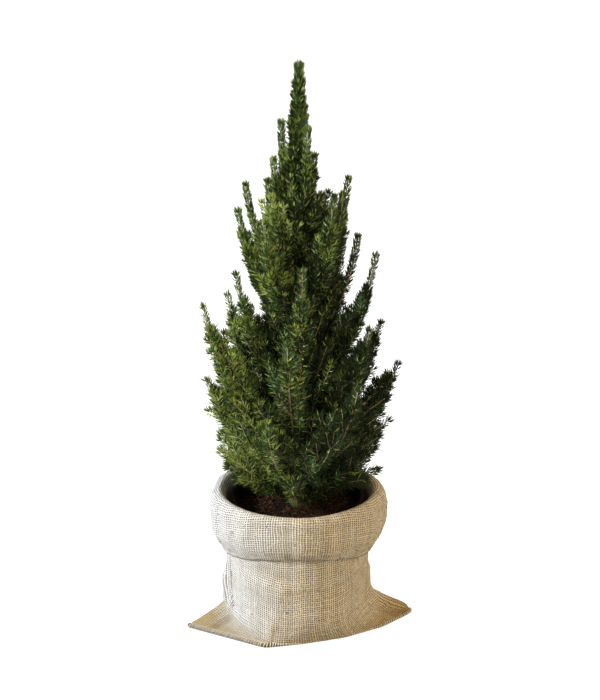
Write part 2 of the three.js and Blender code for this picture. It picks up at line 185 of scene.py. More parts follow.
def bumps(u, v, scale, seed, octaves=4):
    """A rough field between about -1 and 1: waves in chance directions, each octave finer by half
    and weaker by half. The scale is the length of the longest wave."""
    chance = np.random.default_rng(seed)
    total = np.zeros(np.broadcast(u, v).shape)
    for octave in range(octaves):
        for _ in range(4):
            direction, phase = chance.uniform(0, 2 * np.pi, 2)
            wave = 2 * np.pi * 2**octave / scale * chance.uniform(0.8, 1.2)
            turn = u * np.cos(direction) + v * np.sin(direction)
            total += np.sin(wave * turn + phase) / 2**octave
    return total / 5


print("formulas ready")

# %% [markdown]
# ## Faces by rule
# Nothing here is drawn face by face. A sheet or a tube is a grid of points, so its faces follow from
# row and column numbers. Small solids that come by the thousand all have the faces of the first,
# with higher numbers.

# %% Faces
def grid_faces(rows, columns):
    """Four-sided faces between neighbouring rows of a grid whose last column meets its first."""
    row = np.arange(rows - 1)[:, None] * columns
    column = np.arange(columns)[None, :]
    beside = (column + 1) % columns
    corners = [row + column, row + beside, row + columns + beside, row + columns + column]
    return np.stack(corners, axis=-1).reshape(-1, 4)


def end_faces(end, ring, outwards):
    """Triangles from one end point to a ring of points, turned so that they face outwards."""
    beside = np.roll(ring, -1)
    tip = np.full(len(ring), end)
    return np.stack([ring, beside, tip] if outwards else [beside, ring, tip], axis=-1)


def cap_faces(last, sides):
    """Both ends of a stack of rings, closed to two end points whose numbers are last and last + 1."""
    ring = np.arange(sides)
    return np.concatenate([end_faces(last, ring, False), end_faces(last + 1, last - sides + ring, True)])


def copied_faces(faces, corners, count):
    """The faces of one small solid with some corners, for as many solids as the count."""
    return (corners * np.arange(count)[:, None, None] + faces).reshape(-1, 3)


print("face rules ready")

# %% [markdown]
# ## Shader helpers
# A material is a small graph of nodes. A few helpers keep it readable: one adds a node and plugs its
# inputs, one does a sum, one blends two colours. An input can be a plain value or another node's
# output.

# %% Node helpers
def plug(tree, socket, value):
    """Sets a socket to a value, or joins it to another node's output."""
    if isinstance(value, bpy.types.NodeSocket):
        tree.links.new(value, socket)
    else:
        socket.default_value = value


def add_node(tree, kind, inputs=None, **settings):
    """A node with its settings, and its inputs set to values or joined to other nodes' outputs."""
    node = tree.nodes.new(kind)
    for key, value in settings.items():
        setattr(node, key, value)
    for key, value in (inputs or {}).items():
        plug(tree, node.inputs[key], value)
    return node


def calc(tree, operation, *values):
    """The result of a Math node on one to three values or outputs."""
    return add_node(tree, "ShaderNodeMath", dict(enumerate(values)), operation=operation).outputs[0]


def clamped(tree, value):
    """The value kept between 0 and 1."""
    return add_node(tree, "ShaderNodeClamp", {"Value": value}).outputs[0]


def noise(tree, place, scale, detail):
    """The outputs of a noise texture, Fac and Color, both 0 to 1 and mostly near a half."""
    inputs = {"Vector": place, "Scale": scale, "Detail": detail}
    return add_node(tree, "ShaderNodeTexNoise", inputs).outputs


def blended(tree, share, first, second, how="MIX"):
    """A colour from the first to the second by the share, or another way of blending the two."""
    blend = add_node(tree, "ShaderNodeMix", data_type="RGBA", blend_type=how)
    for socket, value in zip((0, 6, 7), (share, first, second)):  # the sockets of a colour blend
        plug(tree, blend.inputs[socket], value)
    return blend.outputs[2]


def make_group(name, inputs, outputs):
    """An empty shader node group with named sockets, and its two end nodes."""
    tree = bpy.data.node_groups.new(name, "ShaderNodeTree")
    for socket, (kind, value) in inputs.items():
        made = tree.interface.new_socket(socket, in_out="INPUT", socket_type=f"NodeSocket{kind}")
        if value is not None:
            made.default_value = value
    for socket, kind in outputs.items():
        tree.interface.new_socket(socket, in_out="OUTPUT", socket_type=f"NodeSocket{kind}")
    return tree, tree.nodes.new("NodeGroupInput").outputs, tree.nodes.new("NodeGroupOutput").inputs


def make_material(name, roughness, specular):
    """A material, its node tree, its Principled shader and its Object coordinates."""
    material = bpy.data.materials.new(name)
    material.use_nodes = True
    tree = material.node_tree
    shader = tree.nodes["Principled BSDF"]
    shader.inputs["Roughness"].default_value = roughness
    shader.inputs["Specular IOR Level"].default_value = specular
    place = tree.nodes.new("ShaderNodeTexCoord").outputs["Object"]
    return material, tree, shader, place


def add_relief(tree, shader, height, depth):
    """Bump from a height of 0 to 1, as deep as the depth in metres."""
    bump = add_node(tree, "ShaderNodeBump", {"Height": height, "Distance": depth})
    tree.links.new(bump.outputs["Normal"], shader.inputs["Normal"])


print("node helpers ready")

# %% [markdown]
# ## Mottling
# Nothing that grew or was dug up has one even colour. Bark, soil, needles and old plastic all drift
# between a darker and a lighter tone, so one node group does that drift, and each material places
# it with its own two colours and its own size.

# %% Mottling group
def make_mottling():
    """Colour: dark to light by noise, pushed apart by the contrast. Height: the same noise."""
    inputs = {
        "Vector": ("Vector", None),
        "Dark": ("Color", (0.1, 0.1, 0.1, 1)),
        "Light": ("Color", (0.8, 0.8, 0.8, 1)),
        "Scale": ("Float", 100.0),
        "Contrast": ("Float", 2.0),
    }
    tree, given, result = make_group("mottling", inputs, {"Color": "Color", "Height": "Float"})
    wander = noise(tree, given["Vector"], given["Scale"], 4.0)["Fac"]
    centred = calc(tree, "SUBTRACT", wander, 0.5)
    share = clamped(tree, calc(tree, "MULTIPLY_ADD", centred, given["Contrast"], 0.5))
    tree.links.new(blended(tree, share, given["Dark"], given["Light"]), result["Color"])
    tree.links.new(wander, result["Height"])
    return tree


mottling = make_mottling()


def mottled_material(name, dark, light, size, roughness, relief=0.0, contrast=2.0, specular=0.5):
    """A material that drifts between two linear colours over patches of a size in millimetres,
    with bump as deep as the relief in millimetres."""
    material, tree, shader, place = make_material(name, roughness, specular)
    inputs = {
        "Vector": place,
        "Dark": (*dark, 1),
        "Light": (*light, 1),
        "Scale": 1 / (size * MM),
        "Contrast": contrast,
    }
    drift = add_node(tree, "ShaderNodeGroup", inputs, node_tree=mottling).outputs
    tree.links.new(drift["Color"], shader.inputs["Base Color"])
    if relief:
        add_relief(tree, shader, drift["Height"], relief * MM)
    return material


print("mottling group ready")

# %% [markdown]
# ## How the tree grows
# A dwarf Alberta spruce is a cone of slim, upright boughs. The CAD solids grew from a table of
# tiers: each tier says how many limbs it has, where they leave the trunk, and how far and how high
# their tips reach. The same table and the same seeded chance are used here, so that every needle
# belongs to the mass that it stands for. A limb's path is a quadratic in its share t, which lets
# all the limbs be held as three arrays: root, slope and bend.

# %% Growth table
SOIL_TOP = 152
TRUNK_TOP = 588
PLANT_TOP = 694
TRUNK_FOOT_RADIUS = 6.6
TRUNK_TIP_RADIUS = 1.7
TRUNK_TAPER = 0.85
ROOT_FLARE = 4.2
ROOT_FLARE_HEIGHT = 9
TRUNK_SWAY = 2.5
SWAY_DEEP = 0.7  # the sway from front to back, as a share of the sway from side to side
SWAY_HALF_WAVES = (2.4, 1.7)  # side to side, and front to back
BOUGH_ROOT_RADIUS = 3.2
BOUGH_TIP_RADIUS = 2.1
BOUGH_SHARE = 0.34  # a limb is bare bough as far as this share, and foliage beyond it
EARLY_RISE = 0.45
ROOT_STAGGER = 4
SCATTER = {"azimuth": 6, "reach": 4, "tip": 6, "root": 2}
GOLDEN_ANGLE = 137.508

TIER_WORDS = "name bough count turn root spread tip tilt stagger reach lean"
TIER_ROWS = [
    ("skirt", True, 7, 10, 166, 0.9, 224, 10, 8, 106, 4),
    ("low", True, 7, 0, 185, 0.55, 306, 4, 24, 118, 6),
    ("middle", True, 6, 20, 222, 0.5, 398, -14, -8, 110, -8),
    ("upper", False, 5, -15, 290, 0.5, 466, 8, 5, 86, 9),
    ("shoulder", False, 5, 25, 372, 0.55, 536, 18, 4, 70, 1),
    ("crown", False, 4, 30, 484, 0.4, 606, 0, -18, 30, 0),
]
TIERS = [dict(zip(TIER_WORDS.split(), row)) for row in TIER_ROWS]


class Seeded:
    """Even chance from a seed: state times 1664525 plus 1013904223, kept under 2 to the 32."""

    def __init__(self, seed):
        self.state = seed
        self.next()

    def next(self):
        self.state = (self.state * 1664525 + 1013904223) % 2**32
        return self.state / 2**32

    def around(self, middle, most):
        return mix(middle - most, middle + most, self.next())


print(f"{sum(tier['count'] for tier in TIERS)} limbs in {len(TIERS)} tiers")

# %% [markdown]
# ## Trunk and limbs as formulas
# The trunk wanders a little in two slow waves and tapers from a flared foot. Each limb leaves it in
# the upright plane of its azimuth, leans out first and turns up later, which gives the narrow,
# flame-like outline of this dwarf.

# %% Trunk and limb paths
def plant_share(z):
    """0 at the soil, 1 at the plant's top."""
    return (z - SOIL_TOP) / (PLANT_TOP - SOIL_TOP)


def trunk_at(z):
    """The trunk's middle at each height: two sine waves of the height, one across and one deep."""
    t = plant_share(z)
    x = TRUNK_SWAY * np.sin(SWAY_HALF_WAVES[0] * np.pi * t)
    y = SWAY_DEEP * TRUNK_SWAY * np.sin(SWAY_HALF_WAVES[1] * np.pi * t)
    return np.stack([x, y, z * np.ones_like(t)], axis=-1)


def trunk_radius(z):
    """An eased taper from foot to tip, plus a flare that dies away exponentially."""
    t = np.clip((z - SOIL_TOP) / (TRUNK_TOP - SOIL_TOP), 0, 1)
    flare = ROOT_FLARE * np.exp(-(z - SOIL_TOP) / ROOT_FLARE_HEIGHT)
    return mix(TRUNK_FOOT_RADIUS, TRUNK_TIP_RADIUS, t**TRUNK_TAPER) + flare


def trunk_path(low, high):
    """The trunk between two heights as a quadratic through its foot, its middle and its tip."""
    foot, middle, tip = trunk_at(np.linspace(low, high, 3))
    bend = 2 * (foot + tip - 2 * middle)
    return foot, tip - foot - bend, bend, np.array([0.0, 1, 0])


def limb_of(tier, tier_number, k):
    """root + slope t + bend t^2. Outwards it is reach times a blend of 2t - t^2 and t by the
    spread; upwards it is the rise times a blend of t^2 and t by the early rise."""
    chance = Seeded(1000 * (tier_number + 1) + k)
    turn = tier["turn"] + 360 / tier["count"] * k
    azimuth = np.radians(chance.around(turn, SCATTER["azimuth"]))
    outward = np.array([np.cos(azimuth), np.sin(azimuth), 0])
    side = -1 if k % 2 else 1
    reach = chance.around(tier["reach"] + tier["lean"] * outward[0], SCATTER["reach"])
    tip_middle = tier["tip"] + tier["tilt"] * outward[0] + side * tier["stagger"]
    tip = chance.around(tip_middle, SCATTER["tip"])
    root = chance.around(tier["root"] + side * ROOT_STAGGER, SCATTER["root"])
    up = np.array([0, 0, tip - root])
    slope = outward * reach * (2 - tier["spread"]) + up * EARLY_RISE
    bend = up * (1 - EARLY_RISE) - outward * reach * (1 - tier["spread"])
    across = np.array([-outward[1], outward[0], 0])
    return f"{tier['name']}_{k + 1}", tier["bough"], trunk_at(np.float64(root)), slope, bend, across


LIMBS = [limb_of(tier, n, k) for n, tier in enumerate(TIERS) for k in range(tier["count"])]
LIMBS.append(("leader", False, *trunk_path(TRUNK_TOP, PLANT_TOP)))
limb_names, has_bough, *limb_paths = [np.array(column) for column in zip(*LIMBS)]
print(f"{len(LIMBS)} paths, {has_bough.sum()} of them with a bare bough")

# %% [markdown]
# ## Shoots as arrays
# A shoot of any order is held like a limb: root, slope and bend, plus its length, the length of its
# needles and its colour. A side shoot leaves its parent at an angle and curves back towards the
# parent's heading, as shoots do that grow to the light. Shoots stand round their parent by the
# golden angle, which is how real ones avoid each other.

# %% Shoot arrays
class Shoots:
    """Arrays with one row for each shoot: its path, and more under names such as length."""

    def __init__(self, root, slope, bend, across, **more):
        self.root, self.slope, self.bend, self.across = root, slope, bend, across
        self.more = {key: np.broadcast_to(value, len(root)).copy() for key, value in more.items()}

    def __len__(self):
        return len(self.root)

    def __getitem__(self, key):
        return self.more[key]

    def pick(self, rows):
        """Some of the shoots, by row number."""
        chosen = {key: value[rows] for key, value in self.more.items()}
        return Shoots(self.root[rows], self.slope[rows], self.bend[rows], self.across[rows], **chosen)

    def at(self, t):
        """root + slope t + bend t^2"""
        t = np.asarray(t)[..., None]
        return self.root + self.slope * t + self.bend * t * t

    def heading(self, t):
        """Unit vector of slope + 2 bend t, the path's direction."""
        return unit(self.slope + 2 * self.bend * np.asarray(t)[..., None])

    def shortened(self, share):
        """Each shoot in the same shape, at a share of its length."""
        self.slope = self.slope * share[:, None]
        self.bend = self.bend * share[:, None]
        self.more["length"] = self["length"] * share
        return self


def joined(parts):
    """All the shoots of several sets, one after another."""
    names = ("root", "slope", "bend", "across")
    paths = [np.concatenate([getattr(part, name) for part in parts]) for name in names]
    more = {key: np.concatenate([part[key] for part in parts]) for key in parts[0].more}
    return Shoots(*paths, **more)


def length_of(shoots, start, last):
    """Length of each path between two shares of it, over sixteen straight steps."""
    points = np.stack([shoots.at(mix(start, last, step)) for step in np.linspace(0, 1, 17)])
    return np.linalg.norm(np.diff(points, axis=0), axis=-1).sum(axis=0)


def measured(shoots):
    """The same shoots, with their lengths written down."""
    shoots.more["length"] = length_of(shoots, 0, 1)
    return shoots


UPRIGHT = 0.6  # how strongly every shoot is drawn to the light


def side_shoots(parents, t, turn, angle, length, curve, upright=UPRIGHT):
    """Leaves P(t) along cos(angle) heading + sin(angle) out, where out is turned round the heading,
    drawn upwards by the upright share. It gains curve times its length towards a line halfway
    between the heading and straight up."""
    heading = parents.heading(t)
    lift = np.cross(heading, parents.across)
    out = unit(parents.across * np.cos(turn)[:, None] + lift * np.sin(turn)[:, None])
    lean = heading * np.cos(angle)[:, None] + out * np.sin(angle)[:, None]
    lean = unit(lean + upright * np.array([0, 0, 1]))
    slope = lean * length[:, None]
    bend = unit(heading + (0, 0, 1)) * (curve * length)[:, None]
    return Shoots(parents.at(t), slope, bend, unit(np.cross(lean, heading)), length=length)


print("shoot arrays ready")

# %% [markdown]
# ## Each mass in its own space
# The solids keep their masses apart: a twig belongs where its own stem is the nearest one. The fine
# twigs follow the same rule, softened by a few millimetres so that neighbours mingle as they do on
# the plant, and none grows into the pot or the sack. A twig that doesn't fit is tried shorter.

# %% Space test
SPACE_SLACK = 7
STEM_SAMPLES = 13
UNBOUGHED_START = 0.03  # where the foliage starts on a limb without a bare bough
TRIED_SHARES = (1, 0.8, 0.62, 0.45)
WAY_CHECKED = 0.6  # share of a shoot at which it is tested besides its tip
MOUTH_RADIUS = 74
LIP_HEIGHT = 177
FREE_AIR = 5  # over the soil and the lip

limbs = Shoots(*limb_paths, mass=np.arange(len(LIMBS)))
boughs = limbs.pick(np.flatnonzero(has_bough))
stem_start = np.where(has_bough, BOUGH_SHARE, np.where(limb_names == "leader", 0, UNBOUGHED_START))
stem_lines = [
    limbs.pick([limb]).at(np.linspace(start, 1, STEM_SAMPLES)) for limb, start in enumerate(stem_start)
]


def distance_to(line, points):
    """Least distance of each point to the segments of a line."""
    start, way = line[:-1], np.diff(line, axis=0)
    gap = points[:, None] - start
    along = np.clip((gap * way).sum(-1) / (way * way).sum(-1), 0, 1)
    return np.linalg.norm(gap - along[..., None] * way, axis=-1).min(axis=1)


def stem_distances(points):
    """The distance of each point to each stem, points by stems."""
    return np.stack([distance_to(line, points) for line in stem_lines], axis=1)


def in_nearest_mass(shoots):
    """Gives each shoot to the mass whose stem is nearest to its tip."""
    shoots.more["mass"] = stem_distances(shoots.at(1)).argmin(axis=1)
    return shoots


def fits(points, owner, slack):
    """True where a point is nearer to its own stem than to others, give or take the slack, and
    either over the soil or above the sack's lip."""
    distances = stem_distances(points)
    own = np.take_along_axis(distances, owner[:, None], axis=1)[:, 0]
    over_soil = np.hypot(points[:, 0], points[:, 1]) < MOUTH_RADIUS
    floor = np.where(over_soil, SOIL_TOP, LIP_HEIGHT) + FREE_AIR
    return (own < distances.min(axis=1) + slack) & (points[:, 2] > floor)


def fitted(shoots, slack=SPACE_SLACK):
    """The shoots that fit, each cut to the first of the tried shares at which it does."""
    share = np.zeros(len(shoots))
    for tried in TRIED_SHARES:
        open_ones = np.flatnonzero(share == 0)
        some = shoots.pick(open_ones)
        ends = some.root + (some.slope + some.bend) * tried
        on_the_way = mix(some.root, ends, WAY_CHECKED)
        inside = fits(ends, some["mass"], slack) & fits(on_the_way, some["mass"], 2 * slack)
        share[open_ones[inside]] = tried
    return shoots.pick(np.flatnonzero(share)).shortened(share[share > 0])


print(f"{len(stem_lines)} stems to keep apart")

# %% [markdown]
# ## Three orders of shoots
# First come the stems of the masses, then the side shoots on them, then short twiglets on those.
# Side shoots are long near a stem's foot and short near its tip, so each mass ends in a point. More
# short shoots stand on the trunk and the boughs inside, where a real one is thick with old growth.
# A few leave the trunk's foot and lean out over the sack's rim, and a few more stand free.

# %% Grow the shoots
SIDE_SHOOT = 72
SIDE_SPACING = 5.0
SIDE_SPAN = (0.02, 0.82)  # the stretch of a stem that bears side shoots
SIDE_TIP_SHARE = 0.15  # length of the topmost side shoot as a share of the lowest's
SIDE_FALL = 0.95  # below 1, the lengths fall quickly at first, so that the stems' ends stand free
SIDE_ANGLE = 35
SIDE_CURVE = 0.3
SIDE_SHARE = {"shoulder": 1.05, "crown": 0.27, "leader": 0.36}  # of the side shoot's length, higher up
SCATTERING = {"place": 0.3, "turn": 25, "angle": 9, "length": (0.72, 1.12)}
OUTWARD_SHARE = 0.5  # length of a shoot that points straight out of the crown
OUTWARD_LIMIT = 0.62  # the cosine past which a shoot points out too straight to be there
OUTWARD_FREE = 470  # height above which the limit doesn't hold
BOUGH_SHOOT_SHARE = 0.8  # length of the shoots on the bare boughs, as a share of the side shoots'
BOUGH_SHOOT_CURVE = 0.2
BOUGH_SHOOTS_FROM = 0.12
TIP_ROOM = 5  # a stem ends this far short of its limb's tip, which the last needles reach
TRUNK_SHOOTS = 300
TRUNK_SHOOT_HEIGHTS = (SOIL_TOP + 12, TRUNK_TOP - 8)
TRUNK_SHOOT_CROWDING = 1.3  # above 1, more of them stand near the foot
TRUNK_SHOOT_ANGLES = (66, 46)  # at the trunk's foot and at its top
TRUNK_SHOOT_LENGTHS = [(152, 104), (300, 86), (430, 84), (470, 64), (540, 32), (588, 16)]
TRUNK_SCATTERING = {"turn": 25, "angle": 12, "length": (0.55, 1.1)}
FOOT_SHOOTS = [
    # how many, heights over the soil, angles, lengths and curve
    (84, (18, 36), (70, 86), (62, 98), 0.12),  # low ones over the soil
    (84, (14, 84), (64, 80), (92, 116), 0.36),  # these reach out over the sack's lip
]
FREE_SHOOTS = [
    # roots and tips of slim shoots that stand free of the crown and break its outline
    ((-32, -4, 464), (-60, 0, 552)),
    ((-20, -8, 492), (-34, -5, 557)),
    ((42, -6, 398), (71, 0, 490)),
    ((36, 0, 456), (53, -2, 540)),
]
FREE_SHOOT_CURVE = 0.35
UP = np.array([0.0, 0, 1])

chance = np.random.default_rng(41)


def numbered(count):
    """For a count of children each: the parent of every child, and its number on that parent."""
    parent = np.repeat(np.arange(len(count)), count)
    return parent, np.arange(len(parent)) - np.repeat(np.cumsum(count) - count, count)


def shoots_along(parents, span, spacing, longest, tip_share, angle, curve):
    """Side shoots at even spacing along a span of each parent. Their length goes from the longest
    to the tip share of it by a power of the place, and chance moves everything a little."""
    start, last = span
    count = np.maximum(1, np.round(length_of(parents, start, last) / spacing)).astype(int)
    owner, number = numbered(count)
    some = len(owner)
    jitter = chance.uniform(-SCATTERING["place"], SCATTERING["place"], some)
    place = (number + 0.5 + jitter) / count[owner]
    scattered_turn = chance.uniform(-SCATTERING["turn"], SCATTERING["turn"], some)
    turn = np.radians(GOLDEN_ANGLE * number + scattered_turn)
    lean = np.radians(angle + chance.uniform(-SCATTERING["angle"], SCATTERING["angle"], some))
    full = np.broadcast_to(longest, len(parents))[owner] * mix(1, tip_share, place**SIDE_FALL)
    length = full * chance.uniform(*SCATTERING["length"], some)
    made = side_shoots(parents.pick(owner), mix(start, last, place), turn, lean, length, curve)
    for key in parents.more.keys() - {"length"}:
        made.more[key] = parents[key][owner]
    return held_in(made)


def held_in(shoots):
    """Shoots that point away from the trunk are shorter, and the others fill the crown: the length
    times a share that falls from inwards to outwards. Below, the straightest ones are left out."""
    out = shoots.root * (1, 1, 0)
    out /= np.linalg.norm(out, axis=1, keepdims=True) + 1
    outwards = (unit(shoots.slope) * out).sum(axis=1)
    shoots = shoots.shortened(mix(1.0, OUTWARD_SHARE, np.clip(outwards, 0, 1)))
    high = shoots.root[:, 2] > OUTWARD_FREE
    return shoots.pick(np.flatnonzero((outwards < OUTWARD_LIMIT) | high))


def stem_shoots():
    """The stems: the stretch of each limb from its bough nearly to its tip, as a path from 0 to 1."""
    start = stem_start[:, None]
    part = 1 - TIP_ROOM / length_of(limbs, 0, 1)[:, None] - start
    slope = (limbs.slope + 2 * limbs.bend * start) * part
    return Shoots(limbs.at(stem_start), slope, limbs.bend * part**2, limbs.across, mass=limbs["mass"])


def trunk_points(z):
    """Upright paths at heights on the trunk, which shoots can leave from."""
    up = np.zeros((len(z), 3)) + UP
    return Shoots(trunk_at(z), up, 0 * up, np.zeros_like(up) + (0, 1, 0))


def trunk_shoots():
    """Short shoots all the way up the trunk, longer and flatter near its foot."""
    some = TRUNK_SHOOTS
    z = mix(*TRUNK_SHOOT_HEIGHTS, np.linspace(0, 1, some) ** TRUNK_SHOOT_CROWDING)
    scattered_turn = chance.uniform(-TRUNK_SCATTERING["turn"], TRUNK_SCATTERING["turn"], some)
    turn = np.radians(GOLDEN_ANGLE * np.arange(some) + scattered_turn)
    angle = mix(*TRUNK_SHOOT_ANGLES, np.sqrt((z - SOIL_TOP) / (TRUNK_TOP - SOIL_TOP)))
    lean = np.radians(angle + chance.uniform(-TRUNK_SCATTERING["angle"], TRUNK_SCATTERING["angle"], some))
    length = from_table(TRUNK_SHOOT_LENGTHS, z) * chance.uniform(*TRUNK_SCATTERING["length"], some)
    made = side_shoots(trunk_points(z), np.zeros(some), turn, lean, length, SIDE_CURVE)
    return in_nearest_mass(made)


def foot_shoots(count, heights, angles, lengths, curve):
    """Long shoots from the trunk's foot in all directions, without a pull to the light."""
    z = mix(*(SOIL_TOP + np.array(heights)), np.linspace(0, 1, count))
    turn = np.radians(GOLDEN_ANGLE * np.arange(count))
    lean = np.radians(chance.uniform(*angles, count))
    length = chance.uniform(*lengths, count)
    return in_nearest_mass(side_shoots(trunk_points(z), np.zeros(count), turn, lean, length, curve, 0))


def free_shoots():
    """Root + slope t + bend t^2 to the tip, leaning outwards at first and more upright at last."""
    root, tip = np.array(FREE_SHOOTS, float).transpose(1, 0, 2)
    bend = FREE_SHOOT_CURVE * (tip - root) * (-1, -1, 1)
    made = Shoots(root, tip - root - bend, bend, np.zeros_like(root) + (0, 1, 0))
    return measured(in_nearest_mass(made))


def by_mass(shares):
    """The share of each mass by the first word of its name, and 1 where there is none."""
    return np.array([shares.get(name.split("_")[0], 1.0) for name in limb_names])


stems = measured(stem_shoots())
side_rule = (SIDE_TIP_SHARE, SIDE_ANGLE, SIDE_CURVE)
side = fitted(shoots_along(stems, SIDE_SPAN, SIDE_SPACING, SIDE_SHOOT * by_mass(SIDE_SHARE), *side_rule))
foot = [foot_shoots(*row) for row in FOOT_SHOOTS]
bough_rule = (BOUGH_SHOOT_SHARE * SIDE_SHOOT, 1, SIDE_ANGLE, BOUGH_SHOOT_CURVE)
on_boughs = (BOUGH_SHOOTS_FROM, BOUGH_SHARE)
low_shoots = [trunk_shoots(), *foot, shoots_along(boughs, on_boughs, SIDE_SPACING, *bough_rule)]
inner = fitted(joined(low_shoots), 1.5 * SPACE_SLACK)
stems = joined([stems, free_shoots()])
for name, some in [("stems", stems), ("side shoots", side), ("inner shoots", inner)]:
    print(f"{len(some)} {name}, {some['length'].sum() * MM:.1f} m in all")

# %% [markdown]
# ## Five greens and a brown
# Age, painted light and painted shade colour this plant: old needles inside are deep green, which
# also paints the shade inside the crown and on its right side, new sprays are fresh and a little blue,
# the left side, where the lamp falls, is olive as painted light, and some twigs inside have dried
# brown. Colour is dealt out by spray, so that a side shoot has one green with all its twiglets, as on
# the plant.

# %% Deal out the greens
GREENS = {
    # dark and light tone, in linear light
    "deep": ((0.012, 0.022, 0.006), (0.036, 0.056, 0.013)),
    "forest": ((0.05, 0.088, 0.02), (0.12, 0.18, 0.042)),
    "fresh": ((0.055, 0.13, 0.045), (0.13, 0.25, 0.09)),
    "olive": ((0.16, 0.2, 0.028), (0.34, 0.4, 0.065)),
    "leaf": ((0.2, 0.28, 0.055), (0.48, 0.57, 0.15)),
    "dried": ((0.1, 0.045, 0.02), (0.21, 0.11, 0.05)),
}
DEEP, FOREST, FRESH, OLIVE, LEAF, DRIED = range(len(GREENS))
CROWN_OUTLINE = [
    # height, and how far out the crown's surface is there
    (150, 88), (224, 100), (306, 104), (398, 96), (466, 78), (536, 60), (606, 28), (694, 8),
]
# painted light and shade: the greens are lighter on the left, where the lamp falls, and darker on the right
LIT_SIDE_REACH = 160  # the sun's share falls from 1 to 0 over this width
OUTSIDE_FROM, OUTSIDE_BLEND = 0.25, 0.4  # shares of the way out to the crown's surface
# low over the soil, sprays count as inside and take more deep green, as painted shade
DARK_FOOT, DARK_FOOT_BLEND = 34, 25  # over the soil, sprays count as inside
LITTER_HEIGHT = 40  # below this over the soil, sprays at the front left have dried
TWIGLET_SHARE = 0.5  # of the length of the shoot that bears it
TWIGLET_SPAN = (0.15, 0.8)
TWIGLET_SPACING = 14
TWIGLET_TIP_SHARE = 0.5
TWIGLET_ANGLE = 40
DENSITY = {"upper": 1.15, "shoulder": 1.3, "crown": 1.4, "leader": 2.4}  # of the needles
STEM_DENSITY = 1.7  # times that of its mass


def lit_side_share(x):
    """1 on the left, the side of the painted light, falling evenly to 0 on the right, the side of the
    painted shade.
    """
    return np.clip(0.5 - x / LIT_SIDE_REACH, 0, 1)


def green_weights(outside, lit_side, height, litter):
    """How likely each green is. Deep is painted shade, for the inside and the right side, fresh and
    leaf for the outside, leaf and olive as painted light on the left, olive also at the top, dried for
    the foot. The numbers are matched."""
    # painted shade: more deep green on the right and low down
    painted_shade = 6 * np.clip(0.6 - lit_side, 0, 1) * np.clip(2.2 - 2 * height, 0, 1)
    near_foot = (outside < 0.7) & (height < 0.2)
    weights = {
        DEEP: mix(3, 0.2, outside) * mix(1.6, 0.4, lit_side) + painted_shade,
        FOREST: np.ones(len(lit_side)),
        FRESH: 0.55 * outside * mix(1, 0.5, lit_side),
        OLIVE: (2.0 * lit_side**2 + 0.9 * np.clip(2 * height - 1, 0, 1)) * outside,
        LEAF: 0.6 * outside * mix(0.15, 2.2, lit_side**2),
        DRIED: np.where(near_foot, 0.3 * lit_side, 0.0) + 0.7 * litter,
    }
    return np.stack([weights[green] for green in range(len(GREENS))], axis=1)


def deal_greens(shoots):
    """The number of each shoot's green. Chance decides, weighted by how far out the shoot's middle
    is in the crown and by how far to the left, where the painted light falls."""
    tips = shoots.at(1)
    x, y, z = mix(shoots.root, tips, 0.6).T
    share = np.hypot(x, y) / from_table(CROWN_OUTLINE, z)
    above_soil = np.clip((z - SOIL_TOP - DARK_FOOT) / DARK_FOOT_BLEND, 0, 1)
    outside = np.clip((share - OUTSIDE_FROM) / OUTSIDE_BLEND, 0, 1) * above_soil
    litter = (z < SOIL_TOP + LITTER_HEIGHT) & (y < -20) & (x < 15)
    height = np.clip(plant_share(tips[:, 2]), 0, 1)
    weights = green_weights(outside, lit_side_share(tips[:, 0]), height, litter)
    ladder = np.cumsum(weights, axis=1) / weights.sum(axis=1, keepdims=True)
    return (chance.uniform(0, 1, len(shoots))[:, None] > ladder).sum(axis=1)


for some in (stems, side, inner):
    some.more["green"] = deal_greens(some)
    some.more["density"] = by_mass(DENSITY)[some["mass"]]
stems.more["density"] *= STEM_DENSITY
stems.more["green"][:] = FOREST
bearing = joined([side, inner])
twiglet_lengths = TWIGLET_SHARE * bearing["length"]
twiglet_rule = (TWIGLET_TIP_SHARE, TWIGLET_ANGLE, SIDE_CURVE)
twiglets = fitted(shoots_along(bearing, TWIGLET_SPAN, TWIGLET_SPACING, twiglet_lengths, *twiglet_rule))
print(f"{len(twiglets)} twiglets, {twiglets['length'].sum() * MM:.1f} m in all")

# %% [markdown]
# ## Needles
# A needle of this spruce is a stiff, sharp, four-sided leaf less than a millimetre thick. Instances
# would be lighter to store, but a mesh is what travels best, so each needle is four points: a base,
# two at its widest place, and a sharp tip. They stand round the shoot by the golden angle, wide open
# at its foot and nearly closed at its tip, which gives every shoot its dense, pointed end. Where
# needles part or old wood has lost them, the light stem shows.

# %% Needle formula
NEEDLES_PER_MM = 1.9
NEEDLE_LENGTHS = [(152, 14), (300, 12.5), (460, 10.5), (600, 10.5), (650, 11.5), (694, 14)]  # by height
NEEDLE_LENGTH_CHANCE = (0.78, 1.08)
NEEDLE_TIP_LENGTH = 0.86  # at the shoot's tip, as a share of the length at its foot
NEEDLE_WIDTHS = (0.98, 1.6)  # at the soil and at the plant's top
NEEDLE_WIDTH_CHANCE = (0.8, 1.15)
NEEDLE_THICKNESS = 0.8  # of the width
NEEDLE_HOOK = 0.08  # how far the tip bends forward, as a share of the length
NEEDLE_SLANTS = (64, 52)  # degrees at the foot of a shoot, at the soil and at the plant's top
NEEDLE_CLOSING = 13  # the slant is this much less at the shoot's tip
NEEDLE_TURN_CHANCE, NEEDLE_SLANT_CHANCE = 20, 9
NEEDLE_SEAT = 0.3  # from the middle of the twig
CLUB_NEEDLES = 16  # round the very tip of a shoot
CLUB_SLANTS = (5, 52)
PARTED = [(152, 0.6), (330, 0.55), (450, 0)]  # height, and share of needles missing on the outer side
